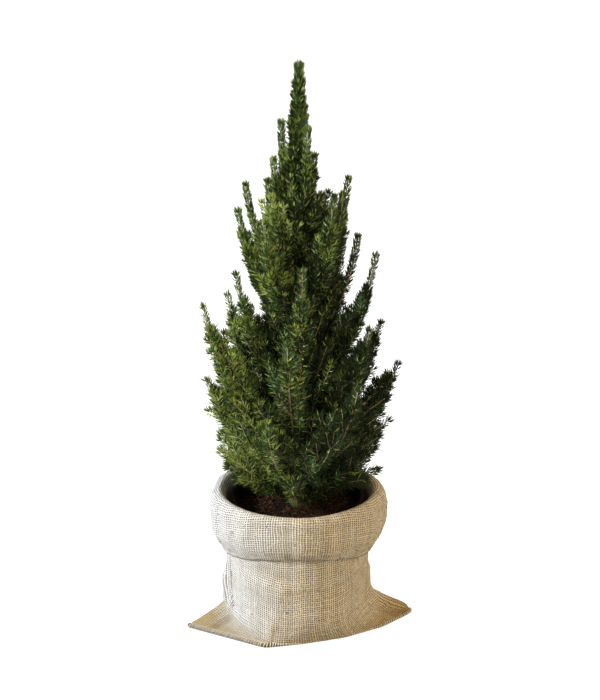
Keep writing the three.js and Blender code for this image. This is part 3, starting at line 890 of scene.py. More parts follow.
STEM_PARTED = [(152, 0.95), (400, 0.9), (470, 0.1)]  # the same for the stems: light lines low down
PARTED_COSINE = 0.5  # the outer side is where needles point outwards by more than this
INNER_RADIUS = [(152, 20), (300, 26), (430, 18), (500, 0)]  # height, and how far out wood is bare
INNER_LEFT = 0.3  # share of the needles that are still there
WIDEST_SHARE = 0.4
NEEDLE_FACES = np.array([[0, 2, 1], [3, 1, 2], [0, 3, 2], [0, 1, 3]])
# Painted light and shade: more dark needles on the right and more light ones on the left; the needles that
# turn darker and lighter are picked by chance
DARKER_SHARE = (0.75, 0.22)  # of the needles, on the right and on the left
LIGHTER_SHARE = (0.02, 0.33)
TOP_FROM, TOP_BLEND = 400, 120  # heights over which the crown's top begins
TOP_DARKER = 0.4  # there the darker ones are this share of that
TOP_LIGHTER = 0.12  # and so many more are light


def spindles(base, direction, forward, length, width):
    """Four points each, a slim wedge of four faces: the base, two points side by side at the widest
    share, and the tip. The two lie as far in front of the line from base to tip as the needle is
    thick, and the tip is bent a little forward."""
    side = unit(np.cross(direction, forward)) * width[:, None] / 2
    front = unit(np.cross(direction, side)) * (NEEDLE_THICKNESS * width)[:, None]
    waist = base + direction * (WIDEST_SHARE * length)[:, None] + front
    tip = base + direction * length[:, None] + forward * (NEEDLE_HOOK * length)[:, None]
    return np.stack([base, waist + side, waist - side, tip], axis=1)


def mixed_greens(greens, places):
    """Most needles have their spray's green, but some in every spray are older and darker, and a
    few lighter. The left side, as painted light, and the crown's top have fewer of the dark ones and
    more of the light ones, and the right side has more dark ones, as painted shade."""
    lit_side = lit_side_share(places[:, 0])
    top = np.clip((places[:, 2] - TOP_FROM) / TOP_BLEND, 0, 1)
    draw = chance.uniform(0, 1, len(greens))
    darker = draw < mix(*DARKER_SHARE, lit_side) * mix(1, TOP_DARKER, top)
    lighter = draw > 1 - (mix(*LIGHTER_SHARE, lit_side**2) + TOP_LIGHTER * top)
    return np.where(lighter, LEAF, np.where(darker, DEEP, greens))


def needle_rows(shoots, bare):
    """Which shoot each needle stands on, its number on that shoot, its share of the way up it, and
    whether it is one of the club at the shoot's tip."""
    spread = (shoots["length"] * (1 - bare) * NEEDLES_PER_MM * shoots["density"]).astype(int)
    club = (CLUB_NEEDLES * np.sqrt(shoots["density"])).astype(int)
    owner, number = numbered(spread + club)
    in_club = number >= spread[owner]
    t = mix(bare, 1, (number + 0.5) / np.maximum(1, spread[owner]))
    return owner, number, np.where(in_club, 1, t), in_club


def still_there(base, out, in_club, parted):
    """False for needles missing on the side away from the trunk, except in the club, and for most
    of those on the old wood near the trunk."""
    radius, z = np.hypot(base[:, 0], base[:, 1]), base[:, 2]
    inwards = (out[:, :2] * base[:, :2]).sum(axis=1) <= PARTED_COSINE * radius
    kept = inwards | in_club | (chance.uniform(0, 1, len(z)) > from_table(parted, z))
    young = radius >= from_table(INNER_RADIUS, z)
    return kept & (young | (chance.uniform(0, 1, len(z)) < INNER_LEFT))


def needles_on(shoots, bare, parted=PARTED):
    """Needles at slant to the shoot: heading cos(slant) + out sin(slant), where out goes round the
    shoot by the golden angle. The slant closes evenly with the share, and is chance's in the club."""
    owner, number, t, in_club = needle_rows(shoots, bare)
    some = shoots.pick(owner)
    heading = some.heading(t)
    across = unit(some.across - heading * (some.across * heading).sum(-1, keepdims=True))
    lift = np.cross(heading, across)
    scattered_turn = chance.uniform(-NEEDLE_TURN_CHANCE, NEEDLE_TURN_CHANCE, len(t))
    turn = np.radians(GOLDEN_ANGLE * number + scattered_turn)[:, None]
    out = across * np.cos(turn) + lift * np.sin(turn)
    base = some.at(t) + out * NEEDLE_SEAT
    rise = np.clip(plant_share(base[:, 2]), 0, 1)
    slant = mix(*NEEDLE_SLANTS, rise) - NEEDLE_CLOSING * t
    slant = slant + chance.uniform(-NEEDLE_SLANT_CHANCE, NEEDLE_SLANT_CHANCE, len(t))
    slant = np.radians(np.where(in_club, chance.uniform(*CLUB_SLANTS, len(t)), slant))[:, None]
    direction = heading * np.cos(slant) + out * np.sin(slant)
    length = from_table(NEEDLE_LENGTHS, base[:, 2]) * mix(1, NEEDLE_TIP_LENGTH, t)
    length = length * chance.uniform(*NEEDLE_LENGTH_CHANCE, len(t))
    width = mix(*NEEDLE_WIDTHS, rise) * chance.uniform(*NEEDLE_WIDTH_CHANCE, len(t))
    kept = still_there(base, out, in_club, parted)
    needles = spindles(base[kept], direction[kept], heading[kept], length[kept], width[kept])
    return needles, mixed_greens(some["green"], base)[kept]


shortest = min(length for _, length in NEEDLE_LENGTHS)
print(f"needles {shortest} to {NEEDLE_LENGTHS[0][1]} mm long")

# %% [markdown]
# ## Needle pieces
# Each green is one piece, or two where there are too many needles for one. Together they replace
# all the foliage solids. A needle is satin, neither glossy nor flat.

# %% Make the needles
PIECE_LIMIT = 48000  # needles in one piece, four triangles each
NEEDLED_FROM = 400  # height on the trunk
TRUNK_DENSITY = 2.2
FOLIAGE = nodes_called("foliage_")


def trunk_top():
    """The trunk's green upper stretch as one more shoot, so that needles stand on it too."""
    path = [part[None] for part in trunk_path(NEEDLED_FROM, TRUNK_TOP)]
    return Shoots(*path, length=TRUNK_TOP - NEEDLED_FROM, green=FOREST, density=TRUNK_DENSITY)


def make_needles():
    """All the needles, sorted by green and cut into pieces of bearable size."""
    rows = [(stems, 0.04, STEM_PARTED), (bearing, 0.1), (twiglets, 0.06), (trunk_top(), 0.0)]
    needles, greens = [np.concatenate(parts) for parts in zip(*[needles_on(*row) for row in rows])]
    for green, (name, (dark, light)) in enumerate(GREENS.items()):
        material = mottled_material(f"needles_{name}", dark, light, 14, 0.5, contrast=3.0, specular=0.3)
        mine = needles[greens == green]
        pieces = np.array_split(mine, int(np.ceil(len(mine) / PIECE_LIMIT)))
        for number, some in enumerate(pieces, 1):
            faces = copied_faces(NEEDLE_FACES, 4, len(some))
            piece = make_piece(f"needles_{name}_{number}", some.reshape(-1, 3), [faces], smooth=False)
            finish_piece(piece, material, FOLIAGE)
    print(f"{len(needles)} needles")


make_needles()

# %% [markdown]
# ## Tubes
# Twigs, boughs, the trunk and later the sack's seam are all tubes round lines, so one function makes
# many of them at once. A ring of points stands square to each line at each of its steps. Where the
# radius differs round the ring as well, the tube has relief.

# %% Tube formula
def tubes_through(lines, radius, sides, reference):
    """Tubes round lines, an array of count by steps by 3. A ring is the line's point plus radius
    times across cos(turn) + lift sin(turn), with across square to the heading and to the
    reference. Triangles to the line's first and last point close both ends."""
    count, steps = lines.shape[:2]
    heading = unit(np.gradient(lines, axis=1))
    across = unit(np.cross(heading, reference))
    lift = np.cross(heading, across)
    turn = np.linspace(0, 2 * np.pi, sides, endpoint=False)[:, None]
    out = across[:, :, None] * np.cos(turn) + lift[:, :, None] * np.sin(turn)
    rings = lines[:, :, None] + out * np.broadcast_to(radius, (count, steps, sides))[..., None]
    points = np.concatenate([rings.reshape(count, -1, 3), lines[:, [0, -1]]], axis=1)
    shift = points.shape[1] * np.arange(count)[:, None, None]
    parts = [grid_faces(steps, sides), cap_faces(steps * sides, sides)]
    return points.reshape(-1, 3), [(shift + part).reshape(-1, part.shape[1]) for part in parts]


def stacked(parts):
    """Several sets of points and face arrays as one."""
    points, faces, total = [], [], 0
    for some_points, some_faces in parts:
        points.append(some_points)
        faces += [group + total for group in some_faces]
        total += len(some_points)
    return np.concatenate(points), faces


def lines_along(shoots, start, last, steps):
    """Points at even shares of each path, count by steps by 3."""
    return np.stack([shoots.at(mix(start, last, t)) for t in np.linspace(0, 1, steps)], axis=1)


print("tube formula ready")

# %% [markdown]
# ## Twigs
# Under the needles every shoot is a thin woody twig, tan where it is young. Three sides are enough
# for something a millimetre thick, and six for the stems, which show between the sprays.

# %% Twigs
TWIG_KINDS = [
    # shoots, radius at the foot and at the tip, sides, steps
    (stems, (2.0, 0.4), 6, 12),
    (bearing, (1.0, 0.3), 3, 4),
    (twiglets, (0.6, 0.3), 3, 2),
]


def twig_tubes(shoots, radii, sides, steps):
    """Tubes along whole shoots, each thinning evenly from its foot's radius to its tip's."""
    radius = mix(*radii, np.linspace(0, 1, steps)[None, :, None])
    return tubes_through(lines_along(shoots, 0, 1, steps), radius, sides, shoots.across[:, None])


young_bark = mottled_material("young_bark", (0.25, 0.165, 0.08), (0.52, 0.4, 0.22), 6, 0.7)
twigs = make_piece("twigs", *stacked([twig_tubes(*kind) for kind in TWIG_KINDS]))
finish_piece(twigs, young_bark, FOLIAGE)

# %% [markdown]
# ## Trunk and boughs
# Old wood is rough: thin plates of bark with ridges that run along the limb, and small pegs where
# needles once stood. Bump alone would leave the outline smooth, so the relief is in the mesh: the
# radius of each ring wanders from place to place, by more on the thick trunk than on a bough.

# %% Bark
BARK_SCALE = 11  # the widest plates
BARK_STRETCH = 0.35  # plates are this much shorter round the limb than along it
BARK_DEPTH = 0.13  # of the radius
LIMB_SHIFT = 97  # along the rough field, so that no two boughs look the same
TRUNK_RINGS, TRUNK_SIDES = 200, 28
BOUGH_RINGS, BOUGH_SIDES = 26, 12
BOUGH_INSET = 0.015  # share of a limb at which its bough comes out of the trunk


def bark_relief(lines, radius, sides, seed):
    """The radius times 1 plus the depth times a rough field, drawn out along the limb."""
    along = way_along(lines, axis=1) + LIMB_SHIFT * np.arange(len(lines))[:, None]
    around = np.linspace(0, 2 * np.pi, sides, endpoint=False)
    u = np.cos(around) * radius[..., None]
    w = np.sin(around) * radius[..., None]
    level = along[..., None] * BARK_STRETCH
    rough = bumps(u + 0.5 * level, w - level, BARK_SCALE * BARK_STRETCH * 2, seed)
    return radius[..., None] * (1 + BARK_DEPTH * rough)


def make_wood():
    """The trunk from the soil to its top, and each bough from inside the trunk to its mass."""
    heights = np.linspace(SOIL_TOP + 0.3, TRUNK_TOP, TRUNK_RINGS)
    trunk_line = trunk_at(heights)[None]
    trunk = bark_relief(trunk_line, trunk_radius(heights)[None], TRUNK_SIDES, 3)
    bough_lines = lines_along(boughs, BOUGH_INSET, BOUGH_SHARE, BOUGH_RINGS)
    even = np.linspace(BOUGH_ROOT_RADIUS, BOUGH_TIP_RADIUS, BOUGH_RINGS)[None]
    bough = bark_relief(bough_lines, np.repeat(even, len(boughs), axis=0), BOUGH_SIDES, 4)
    parts = [
        tubes_through(trunk_line, trunk, TRUNK_SIDES, (0, 1, 0)),
        tubes_through(bough_lines, bough, BOUGH_SIDES, boughs.across[:, None]),
    ]
    bark = mottled_material("bark", (0.05, 0.032, 0.02), (0.19, 0.125, 0.075), 5, 0.9, relief=0.4)
    nodes = ["trunk", *nodes_called("bough_")]
    finish_piece(make_piece("trunk_and_boughs", *stacked(parts)), bark, nodes)


make_wood()

# %% [markdown]
# ## Pot
# The sack hides a plain round nursery pot, of which only the dark rim and a little of the inside
# show. Its near-black brown is the pot's dark plastic and also painted shade for the dark inside the
# sack's mouth. It is a profile turned round the axis, up the outside, over a rolled rim and down the inside.

# %% Pot
POT_BASE = 2.7
POT_HEIGHT = 162
POT_TOP = POT_BASE + POT_HEIGHT
POT_FOOT_RADIUS = 65
POT_TOP_RADIUS = 80
POT_RIM_RADIUS = 83
POT_RIM_DEPTH = 14
POT_WALL = 2
POT_FLOOR = 3
POT_INSIDE = POT_BASE + POT_FLOOR
POT_ROLL = 1.2  # radius of the rim's rolled edge
POT_EDGE = 1.5  # bevel round the foot


def pot_radius(z):
    """An even taper from the foot's radius to the top's."""
    return mix(POT_FOOT_RADIUS, POT_TOP_RADIUS, (z - POT_BASE) / POT_HEIGHT)


def turned(profile, sides=96):
    """A profile of radius and height turned round the axis, from its first point on the axis to its
    last, both of which are single points."""
    turn = np.linspace(0, 2 * np.pi, sides, endpoint=False)
    radius, height = np.array(profile[1:-1], float).T[:, :, None]
    rings = np.stack([radius * np.cos(turn), radius * np.sin(turn), height * np.ones(sides)], axis=-1)
    ends = [(0, 0, profile[0][1]), (0, 0, profile[-1][1])]
    points = np.concatenate([rings.reshape(-1, 3), ends])
    return points, [grid_faces(len(rings), sides), cap_faces(len(rings) * sides, sides)]


def pot_profile():
    """Radius and height from the middle of the underside, round the rim, to the middle inside."""
    rim_foot = POT_TOP - POT_RIM_DEPTH
    mouth = POT_TOP_RADIUS - POT_WALL
    middle = (POT_RIM_RADIUS - POT_ROLL, POT_TOP - POT_ROLL)
    roll = [(middle[0] + POT_ROLL * np.sin(a), middle[1] + POT_ROLL * np.cos(a)) for a in (1.5, 1.0, 0.5, 0)]
    return [
        (0, POT_BASE),
        (POT_FOOT_RADIUS - POT_EDGE, POT_BASE),
        (POT_FOOT_RADIUS, POT_BASE + POT_EDGE),
        (pot_radius(rim_foot), rim_foot - 1),
        (POT_RIM_RADIUS - 0.6, rim_foot),
        (POT_RIM_RADIUS, rim_foot + 0.8),
        *roll,
        (mouth, POT_TOP - 0.4),
        (mouth - 0.3, POT_TOP - 1.6),
        (pot_radius(POT_INSIDE) - POT_WALL, POT_INSIDE),
        (0, POT_INSIDE),
    ]


# near-black brown: dark plastic, darkened further as painted shade inside the sack's mouth
brown = [(0.012, 0.005, 0.004), (0.022, 0.009, 0.006)]
plastic = mottled_material("pot_plastic", *brown, 25, 0.85, specular=0.08)
finish_piece(make_piece("pot_turned", *turned(pot_profile())), plastic, ["pot"])

# %% [markdown]
# ## Soil
# Potting soil is dark, damp and full of crumbs, with fallen needles on it. The surface is a bumpy
# disc, and the crumbs are small eight-sided lumps that lie on it.

# %% Soil
SOIL_EDGE = 76.6
SOIL_EDGE_DROP = 3
SOIL_CROWN_RADIUS = 24
SOIL_BUMPS, SOIL_BUMP_SIZE = 1.7, 30
SOIL_RINGS, SOIL_SIDES = 60, 120
SOIL_BELOW = [(72, 80), (65.5, POT_INSIDE + 0.3)]  # radius and height of its sides in the pot
CRUMBS = 1400
CRUMB_SIZE = (0.8, 3.2)
FALLEN_NEEDLES = 700
FALLEN_LENGTH = (6, 11)
LUMP = np.array([(1, 0, 0), (-1, 0, 0), (0, 1, 0), (0, -1, 0), (0, 0, 1), (0, 0, -1)], float)
LUMP_FACES = np.array(
    [(0, 2, 4), (2, 1, 4), (1, 3, 4), (3, 0, 4), (2, 0, 5), (1, 2, 5), (3, 1, 5), (0, 3, 5)]
)


def soil_height(x, y):
    """Flat in the middle, a little lower at the wall, and uneven except where the trunk stands."""
    radius = np.hypot(x, y)
    slope = np.clip((radius - SOIL_CROWN_RADIUS) / (SOIL_EDGE - SOIL_CROWN_RADIUS), 0, 1)
    off_the_trunk = np.clip((radius - 10) / 12, 0, 1)
    return SOIL_TOP - SOIL_EDGE_DROP * slope + off_the_trunk * SOIL_BUMPS * bumps(x, y, SOIL_BUMP_SIZE, 8)


def scattered(count):
    """Chance places on the soil, even over its area."""
    radius = (SOIL_EDGE - 2) * np.sqrt(chance.uniform(0.02, 1, count))
    turn = chance.uniform(0, 2 * np.pi, count)
    x, y = radius * np.cos(turn), radius * np.sin(turn)
    return np.column_stack([x, y, soil_height(x, y)])


def lumps(middles, corners, size):
    """Eight-sided solids: a middle and six corners, which are scaled by half the size."""
    points = middles[:, None] + corners * size[:, None, None] / 2
    return points.reshape(-1, 3), [copied_faces(LUMP_FACES, 6, len(size))]


def soil_surface():
    """Rings over the surface and down the sides, closed at the middle of the top and the bottom."""
    below_radius, below_height = np.array(SOIL_BELOW).T
    radius = np.concatenate([np.linspace(1.5, SOIL_EDGE, SOIL_RINGS), below_radius])
    turn = np.linspace(0, 2 * np.pi, SOIL_SIDES, endpoint=False)
    x, y = radius[:, None] * np.cos(turn), radius[:, None] * np.sin(turn)
    z = soil_height(x, y)
    z[-2:] = below_height[:, None]
    rings = np.stack([x, y, z], axis=-1).reshape(-1, 3)
    points = np.concatenate([rings, [(0, 0, SOIL_TOP), (0, 0, below_height[-1])]])
    faces = [grid_faces(len(radius), SOIL_SIDES), cap_faces(len(rings), SOIL_SIDES)]
    return points, [group[:, ::-1] for group in faces]


def crumbs():
    """Lumps of six corners, each corner pushed in or out by chance."""
    size = chance.uniform(*CRUMB_SIZE, CRUMBS) * chance.uniform(0.4, 1, CRUMBS)
    corners = LUMP * chance.uniform(0.6, 1.2, (CRUMBS, 6, 1)) + chance.uniform(-0.3, 0.3, (CRUMBS, 6, 3))
    return lumps(scattered(CRUMBS), corners, size)


def fallen_needles():
    """Needles that lie flat on the soil in all directions."""
    some = FALLEN_NEEDLES
    turn = chance.uniform(0, 2 * np.pi, some)
    lying = np.column_stack([np.cos(turn), np.sin(turn), chance.uniform(-0.05, 0.15, some)])
    place = scattered(some) + (0, 0, 0.9)
    length = chance.uniform(*FALLEN_LENGTH, some)
    needles = spindles(place, unit(lying), np.zeros_like(lying) + UP, length, np.ones(some))
    return needles.reshape(-1, 3), [copied_faces(NEEDLE_FACES, 4, some)]


humus = [(0.004, 0.0025, 0.0015), (0.03, 0.016, 0.009)]
earth = mottled_material("potting_soil", *humus, 4, 1.0, relief=0.8, contrast=3.0, specular=0.08)
finish_piece(make_piece("soil_bed", *stacked([soil_surface(), crumbs()])), earth, ["soil"])
straw = [(0.05, 0.02, 0.008), (0.13, 0.055, 0.026)]
dry = mottled_material("dry_litter", *straw, 10, 0.9, specular=0.1)
finish_piece(make_piece("fallen_needles", *fallen_needles()), dry)

# %% [markdown]
# ## Jute weave
# Jute is woven plainly: each thread passes over one crossing thread and under the next, and since
# the yarn is coarse and uneven, pin holes stay open between four crossings, painted dark as the shade
# behind the cloth. The weave is a formula on the cloth's own UV map, which is laid out in metres on
# the flat cloth, so that the threads follow the sack wherever it bends.

# %% Weave group
SLUB_STRETCH = 0.09  # of a slub along its thread, against one thread's width
WANDER = 70.0  # scale of the noise that bends the threads, one over metres
FUZZ = 700.0
THREAD_FILL = 0.58  # width of a thread as a share of the pitch
WEAVE_PITCH = 2.8
JUTE = ((0.32, 0.24, 0.14, 1), (0.98, 0.83, 0.59, 1))  # dark and light threads
# Painted light and shade: pale threads for the left side, where the lamp falls, and a brown that darkens the
# ears
JUTE_PAINTED_LIGHT = ((0.6, 0.54, 0.47, 1), (1.0, 0.97, 0.92, 1))
JUTE_EAR_SHADE = (0.65, 0.51, 0.28, 1)  # multiplies the colour of the ears
# painted shade in the pin holes
JUTE_HOLE_SHADE = (0.04, 0.024, 0.01, 1)


def thread_profile(tree, across, fill):
    """1 on the middle of a thread, falling as a parabola to 0 at its edges, which leave a gap of
    1 - fill between two threads."""
    aside = calc(tree, "SUBTRACT", calc(tree, "FRACT", across), 0.5)
    share = calc(tree, "DIVIDE", calc(tree, "MULTIPLY", aside, 2.0), fill)
    return calc(tree, "MAXIMUM", calc(tree, "SUBTRACT", 1.0, calc(tree, "MULTIPLY", share, share)), 0.0)


def thread_rise(tree, across, along, side):
    """Whether the thread is over or under, from 1 to -1: the sine of the way along it in threads,
    turned over for every second thread."""
    turned = calc(tree, "COSINE", calc(tree, "MULTIPLY", calc(tree, "FLOOR", across), np.pi))
    wave = calc(tree, "SINE", calc(tree, "MULTIPLY", along, np.pi))
    return calc(tree, "MULTIPLY", calc(tree, "MULTIPLY", turned, wave), side)


def thread_tone(tree, across, along, seed):
    """The tone of a thread: 0.34 of one chance value for the whole thread, and 0.6 of slow slubs
    along it."""
    number = calc(tree, "ADD", calc(tree, "FLOOR", across), seed)
    white = add_node(tree, "ShaderNodeTexWhiteNoise", {"W": number}, noise_dimensions="1D")
    inputs = {"X": calc(tree, "MULTIPLY", along, SLUB_STRETCH), "Y": number}
    stretched = add_node(tree, "ShaderNodeCombineXYZ", inputs).outputs[0]
    slub = calc(tree, "MULTIPLY", noise(tree, stretched, 3.0, 2.0)["Fac"], 0.6)
    return calc(tree, "MULTIPLY_ADD", white.outputs["Value"], 0.34, slub)


def hole_darkness(tree, x, y):
    """How open a pin hole is: one chance value for its column and one for itself, each 0 to 1, as
    0.4 + column + 1.2 own. Cells are counted from the middles of threads."""
    column, row = [calc(tree, "FLOOR", calc(tree, "ADD", place, 0.5)) for place in (x, y)]
    cell = add_node(tree, "ShaderNodeCombineXYZ", {"X": column, "Y": row}).outputs[0]
    own = add_node(tree, "ShaderNodeTexWhiteNoise", {"Vector": cell}, noise_dimensions="2D")
    shared = add_node(tree, "ShaderNodeTexWhiteNoise", {"W": column}, noise_dimensions="1D")
    both = calc(tree, "MULTIPLY_ADD", own.outputs["Value"], 1.2, shared.outputs["Value"])
    return calc(tree, "ADD", both, 0.4)


def make_weave():
    """Height: the higher of two crossing threads. Gap: 1 in the pin holes. Tone: 0 to 1."""
    inputs = {
        "Vector": ("Vector", None),
        "Pitch": ("Float", WEAVE_PITCH * MM),
        "Fill": ("Float", THREAD_FILL),
    }
    outputs = {"Height": "Float", "Gap": "Float", "Tone": "Float"}
    tree, given, result = make_group("weave", inputs, outputs)
    wander = noise(tree, given["Vector"], WANDER, 2.0)["Color"]
    drift = add_node(tree, "ShaderNodeSeparateXYZ", {"Vector": wander}).outputs
    place = add_node(tree, "ShaderNodeSeparateXYZ", {"Vector": given["Vector"]}).outputs
    threads = [calc(tree, "DIVIDE", place[axis], given["Pitch"]) for axis in "XY"]
    x, y = [calc(tree, "ADD", thread, drift[axis]) for thread, axis in zip(threads, "XY")]
    warp, weft = [thread_profile(tree, across, given["Fill"]) for across in (x, y)]
    rises = thread_rise(tree, x, y, 1.0), thread_rise(tree, y, x, -1.0)
    warp_height, weft_height = [
        calc(tree, "MULTIPLY", thread, calc(tree, "MULTIPLY_ADD", rise, 0.4, 0.6))
        for thread, rise in zip((warp, weft), rises)
    ]
    tree.links.new(calc(tree, "MAXIMUM", warp_height, weft_height), result["Height"])
    covered = calc(tree, "MULTIPLY", calc(tree, "MAXIMUM", warp, weft), 2.4)
    gap = calc(tree, "MAXIMUM", calc(tree, "SUBTRACT", 1.0, covered), 0.0)
    opened = calc(tree, "MULTIPLY", gap, hole_darkness(tree, x, y))
    tree.links.new(calc(tree, "MINIMUM", opened, 1.0), result["Gap"])
    on_top = calc(tree, "GREATER_THAN", warp_height, weft_height)
    warp_tone, weft_tone = thread_tone(tree, x, y, 0.5), thread_tone(tree, y, x, 400.5)
    thread = calc(tree, "MULTIPLY_ADD", calc(tree, "SUBTRACT", warp_tone, weft_tone), on_top, weft_tone)
    fuzz = calc(tree, "SUBTRACT", noise(tree, given["Vector"], FUZZ, 2.0)["Fac"], 0.5)
    tree.links.new(clamped(tree, calc(tree, "MULTIPLY_ADD", fuzz, 1.5, thread)), result["Tone"])
    return tree


weave = make_weave()
print(f"weave group with {len(weave.nodes)} nodes, one thread every {WEAVE_PITCH} mm")

# %% [markdown]
# ## Painted light and shade
# The sack's left side, where the lamp falls, is painted paler, nearly white, as painted light, and the
# cloth that lies on the ground is painted darker brown, as painted shade. Both are values of a place,
# so they are one more group and the material only mixes its colours by them.

# %% Painted light and shade, and jute
# Painted light on the left side, then painted shade on the ears, called a stain below
PAINTED_LIGHT_SLOPE, PAINTED_LIGHT_MIDDLE = -10.5, 0.08  # per metre to the right, and on the axis
EAR_SHADE_FROM, EAR_SHADE_SLOPE = 0.092, 55.0  # metres from the axis, and per metre beyond
EAR_SHADE_LEAST = 0.45  # of the stain, on all the cloth that lies on the ground


def make_painted_light_and_shade():
    """Painted light: 1 on the left, where the lamp falls, and 0 on the right. Painted shade: as far as
    the cloth lies on the ground, and more away from the pot. Both are uneven."""
    inputs = {"Vector": ("Vector", None), "Lying": ("Float", 0.0)}
    tree, given, result = make_group("wear", inputs, {"Faded": "Float", "Stain": "Float"})
    place = add_node(tree, "ShaderNodeSeparateXYZ", {"Vector": given["Vector"]})
    x, y = place.outputs["X"], place.outputs["Y"]
    patches = calc(tree, "SUBTRACT", noise(tree, given["Vector"], 28.0, 3.0)["Fac"], 0.5)
    uneven = calc(tree, "MULTIPLY", patches, 0.7)
    painted_light = calc(tree, "ADD", calc(tree, "MULTIPLY_ADD", x, PAINTED_LIGHT_SLOPE, PAINTED_LIGHT_MIDDLE), uneven)
    tree.links.new(clamped(tree, painted_light), result["Faded"])
    squares = [calc(tree, "MULTIPLY", side, side) for side in (x, y)]
    radius = calc(tree, "SQRT", calc(tree, "ADD", *squares))
    beyond = calc(tree, "MULTIPLY", calc(tree, "SUBTRACT", radius, EAR_SHADE_FROM), EAR_SHADE_SLOPE)
    outwards = calc(tree, "MULTIPLY_ADD", clamped(tree, beyond), 1 - EAR_SHADE_LEAST, EAR_SHADE_LEAST)
    ear_shade = calc(tree, "MULTIPLY", calc(tree, "ADD", outwards, uneven), given["Lying"])
    tree.links.new(clamped(tree, ear_shade), result["Stain"])
    return tree


wear = make_painted_light_and_shade()


def jute_material():
    """Threads from dark to light by their tone, paler on the left as painted light, darker on the ears
    as painted shade, dark in the pin holes as painted shade, with bump from the weave."""
    material, tree, shader, place = make_material("jute", 0.95, 0.15)
    cloth_place = add_node(tree, "ShaderNodeUVMap", uv_map="cloth").outputs[0]
    threads_at = {"Vector": cloth_place, "Pitch": WEAVE_PITCH * MM}
    woven = add_node(tree, "ShaderNodeGroup", threads_at, node_tree=weave).outputs
    lying = add_node(tree, "ShaderNodeAttribute", attribute_name="lying").outputs["Fac"]
    places = {"Vector": place, "Lying": lying}
    lit_and_shaded = add_node(tree, "ShaderNodeGroup", places, node_tree=wear).outputs
    # the pale tones are painted light for the left side
    fresh, painted_light = [blended(tree, woven["Tone"], *tones) for tones in (JUTE, JUTE_PAINTED_LIGHT)]
    threads = blended(tree, lit_and_shaded["Faded"], fresh, painted_light)
    # painted shade on the ears
    shaded = blended(tree, lit_and_shaded["Stain"], threads, JUTE_EAR_SHADE, "MULTIPLY")
    # painted shade in the pin holes
    tree.links.new(blended(tree, woven["Gap"], shaded, JUTE_HOLE_SHADE), shader.inputs["Base Color"])
    add_relief(tree, shader, woven["Height"], 0.9 * MM)
    return material


jute = jute_material()
print(f"jute stained from {EAR_SHADE_FROM / MM:.0f} mm off the axis on")

# %% [markdown]
# ## Where the sack meets the floor
# The sack is a flat bag: a front and a back of the same width, sewn across the bottom. When a round
# pot goes in, the bottom's two corners can't follow it and stick out as ears. The outline on the
# floor runs from the right ear round the back to the left ear, and along the front over one sharp
# corner back to the right ear. Each half of the cloth has half of the columns, both round the
# outline and round the body above it, and that is how the threads of a real sack fan into its ears.

# %% Sack columns
CLOTH = 1.6  # thickness of the jute
CLOTH_FLAT = (560, 340)  # the tube's way round, and its height before the top is turned down
SACK_COLUMNS = 400
BODY_RADIUS = 89
RIGHT_EAR = (145, 14)
LEFT_EAR = (-136, -36)
FRONT_CORNER = (-40, -90)
BACK_EDGE = [
    # from ear to ear
    (141, 28), (132, 38), (92, 64), (30, 83), (-36, 80), (-80, 44), (-107, 8), (-124, -11), (-137, -29),
]
FRONT_EDGE = [FRONT_CORNER, (6, -80), (60, -62), (106, -34), (138, -2), (144, 6)]
CORNER_SOFTNESS = 3  # columns
RIGHT_FOLD = 4.7  # degrees round the body where the right ear's fold rises
LEFT_FOLD = 190.5

half = SACK_COLUMNS // 2
back_line = spaced([RIGHT_EAR, *BACK_EDGE, LEFT_EAR], half, endpoint=False)
front_line = spaced([LEFT_EAR, *FRONT_EDGE, RIGHT_EAR], half, endpoint=False)
floor_line = softened(np.concatenate([back_line, front_line]), CORNER_SOFTNESS, "wrap")
back_turns = np.linspace(RIGHT_FOLD, LEFT_FOLD, half, endpoint=False)
front_turns = np.linspace(LEFT_FOLD, RIGHT_FOLD + 360, half, endpoint=False)
turns = np.radians(np.concatenate([back_turns, front_turns]))
round_line = np.stack([np.cos(turns), np.sin(turns)], axis=1)
print(f"the outline's ears are {np.ptp(floor_line[:, 0]):.0f} mm apart")

# %% [markdown]
# ## Up the pot, over the lip and down the cuff
# The cloth is one sheet: along the floor, up the body, over the lip and down to the hem. Each row
# of the grid is one level of it. Near the floor the rows blend from the body's circle to the floor
# outline, slowly at first and fast at the end, as cloth does that stands in its own folds.

# %% Sack rows
FLARE_HEIGHT = 42  # above this the cloth hangs straight
FLARE_EASE = 0.6
FACET = (150, 249)  # degrees between which the cloth breaks off into a flat facet, to the seam
FACET_TOPS = [(150, 18), (182, 24), (198, 27), (249, 6)]  # degrees, and the height of that break
FACET_HOLLOWS = [(150, 1.6), (180, 1.6), (190, 0.9), (204, 2.2), (249, 2.2)]  # and how hollow it is
FACET_BLEND = 9  # degrees over which the facet gives way to the smooth flare
UNDER_SHARES = (0.03, 0.3, 0.6, 0.8, 0.92, 0.98)  # rings under the pot, as shares of the outline
FLARE_ROWS, FLARE_TOP, FLARE_CROWDING = 34, 60, 1.6  # closer together near the floor
BODY_LEVELS = range(63, 138, 3)
LIP_PATH = [
    # radius and height: up inside the cuff, over the lip and down to the hem
    (BODY_RADIUS - 0.8, 140), (BODY_RADIUS + 0.2, 164), (91.5, 172), (97, 176.2), (103.5, 172.5),
    (107.9, 160), (107.2, 138), (103.2, 118), (95.2, 104.5), (91.8, 98),
]
LIP_STEP = 2.6
LIP_SOFTNESS = 3  # steps
FRONT_LIFT = 20  # the hem hangs this much higher at the front than at the sides
FRONT_TUCK = 7
CUFF_WAVES = [(3, 1.6, 0.6), (5, 1.1, 2.1), (8, 0.6, 0.0)]  # how many round, height, phase
WAVE_REACH = 12  # the waves are full this far out from the body


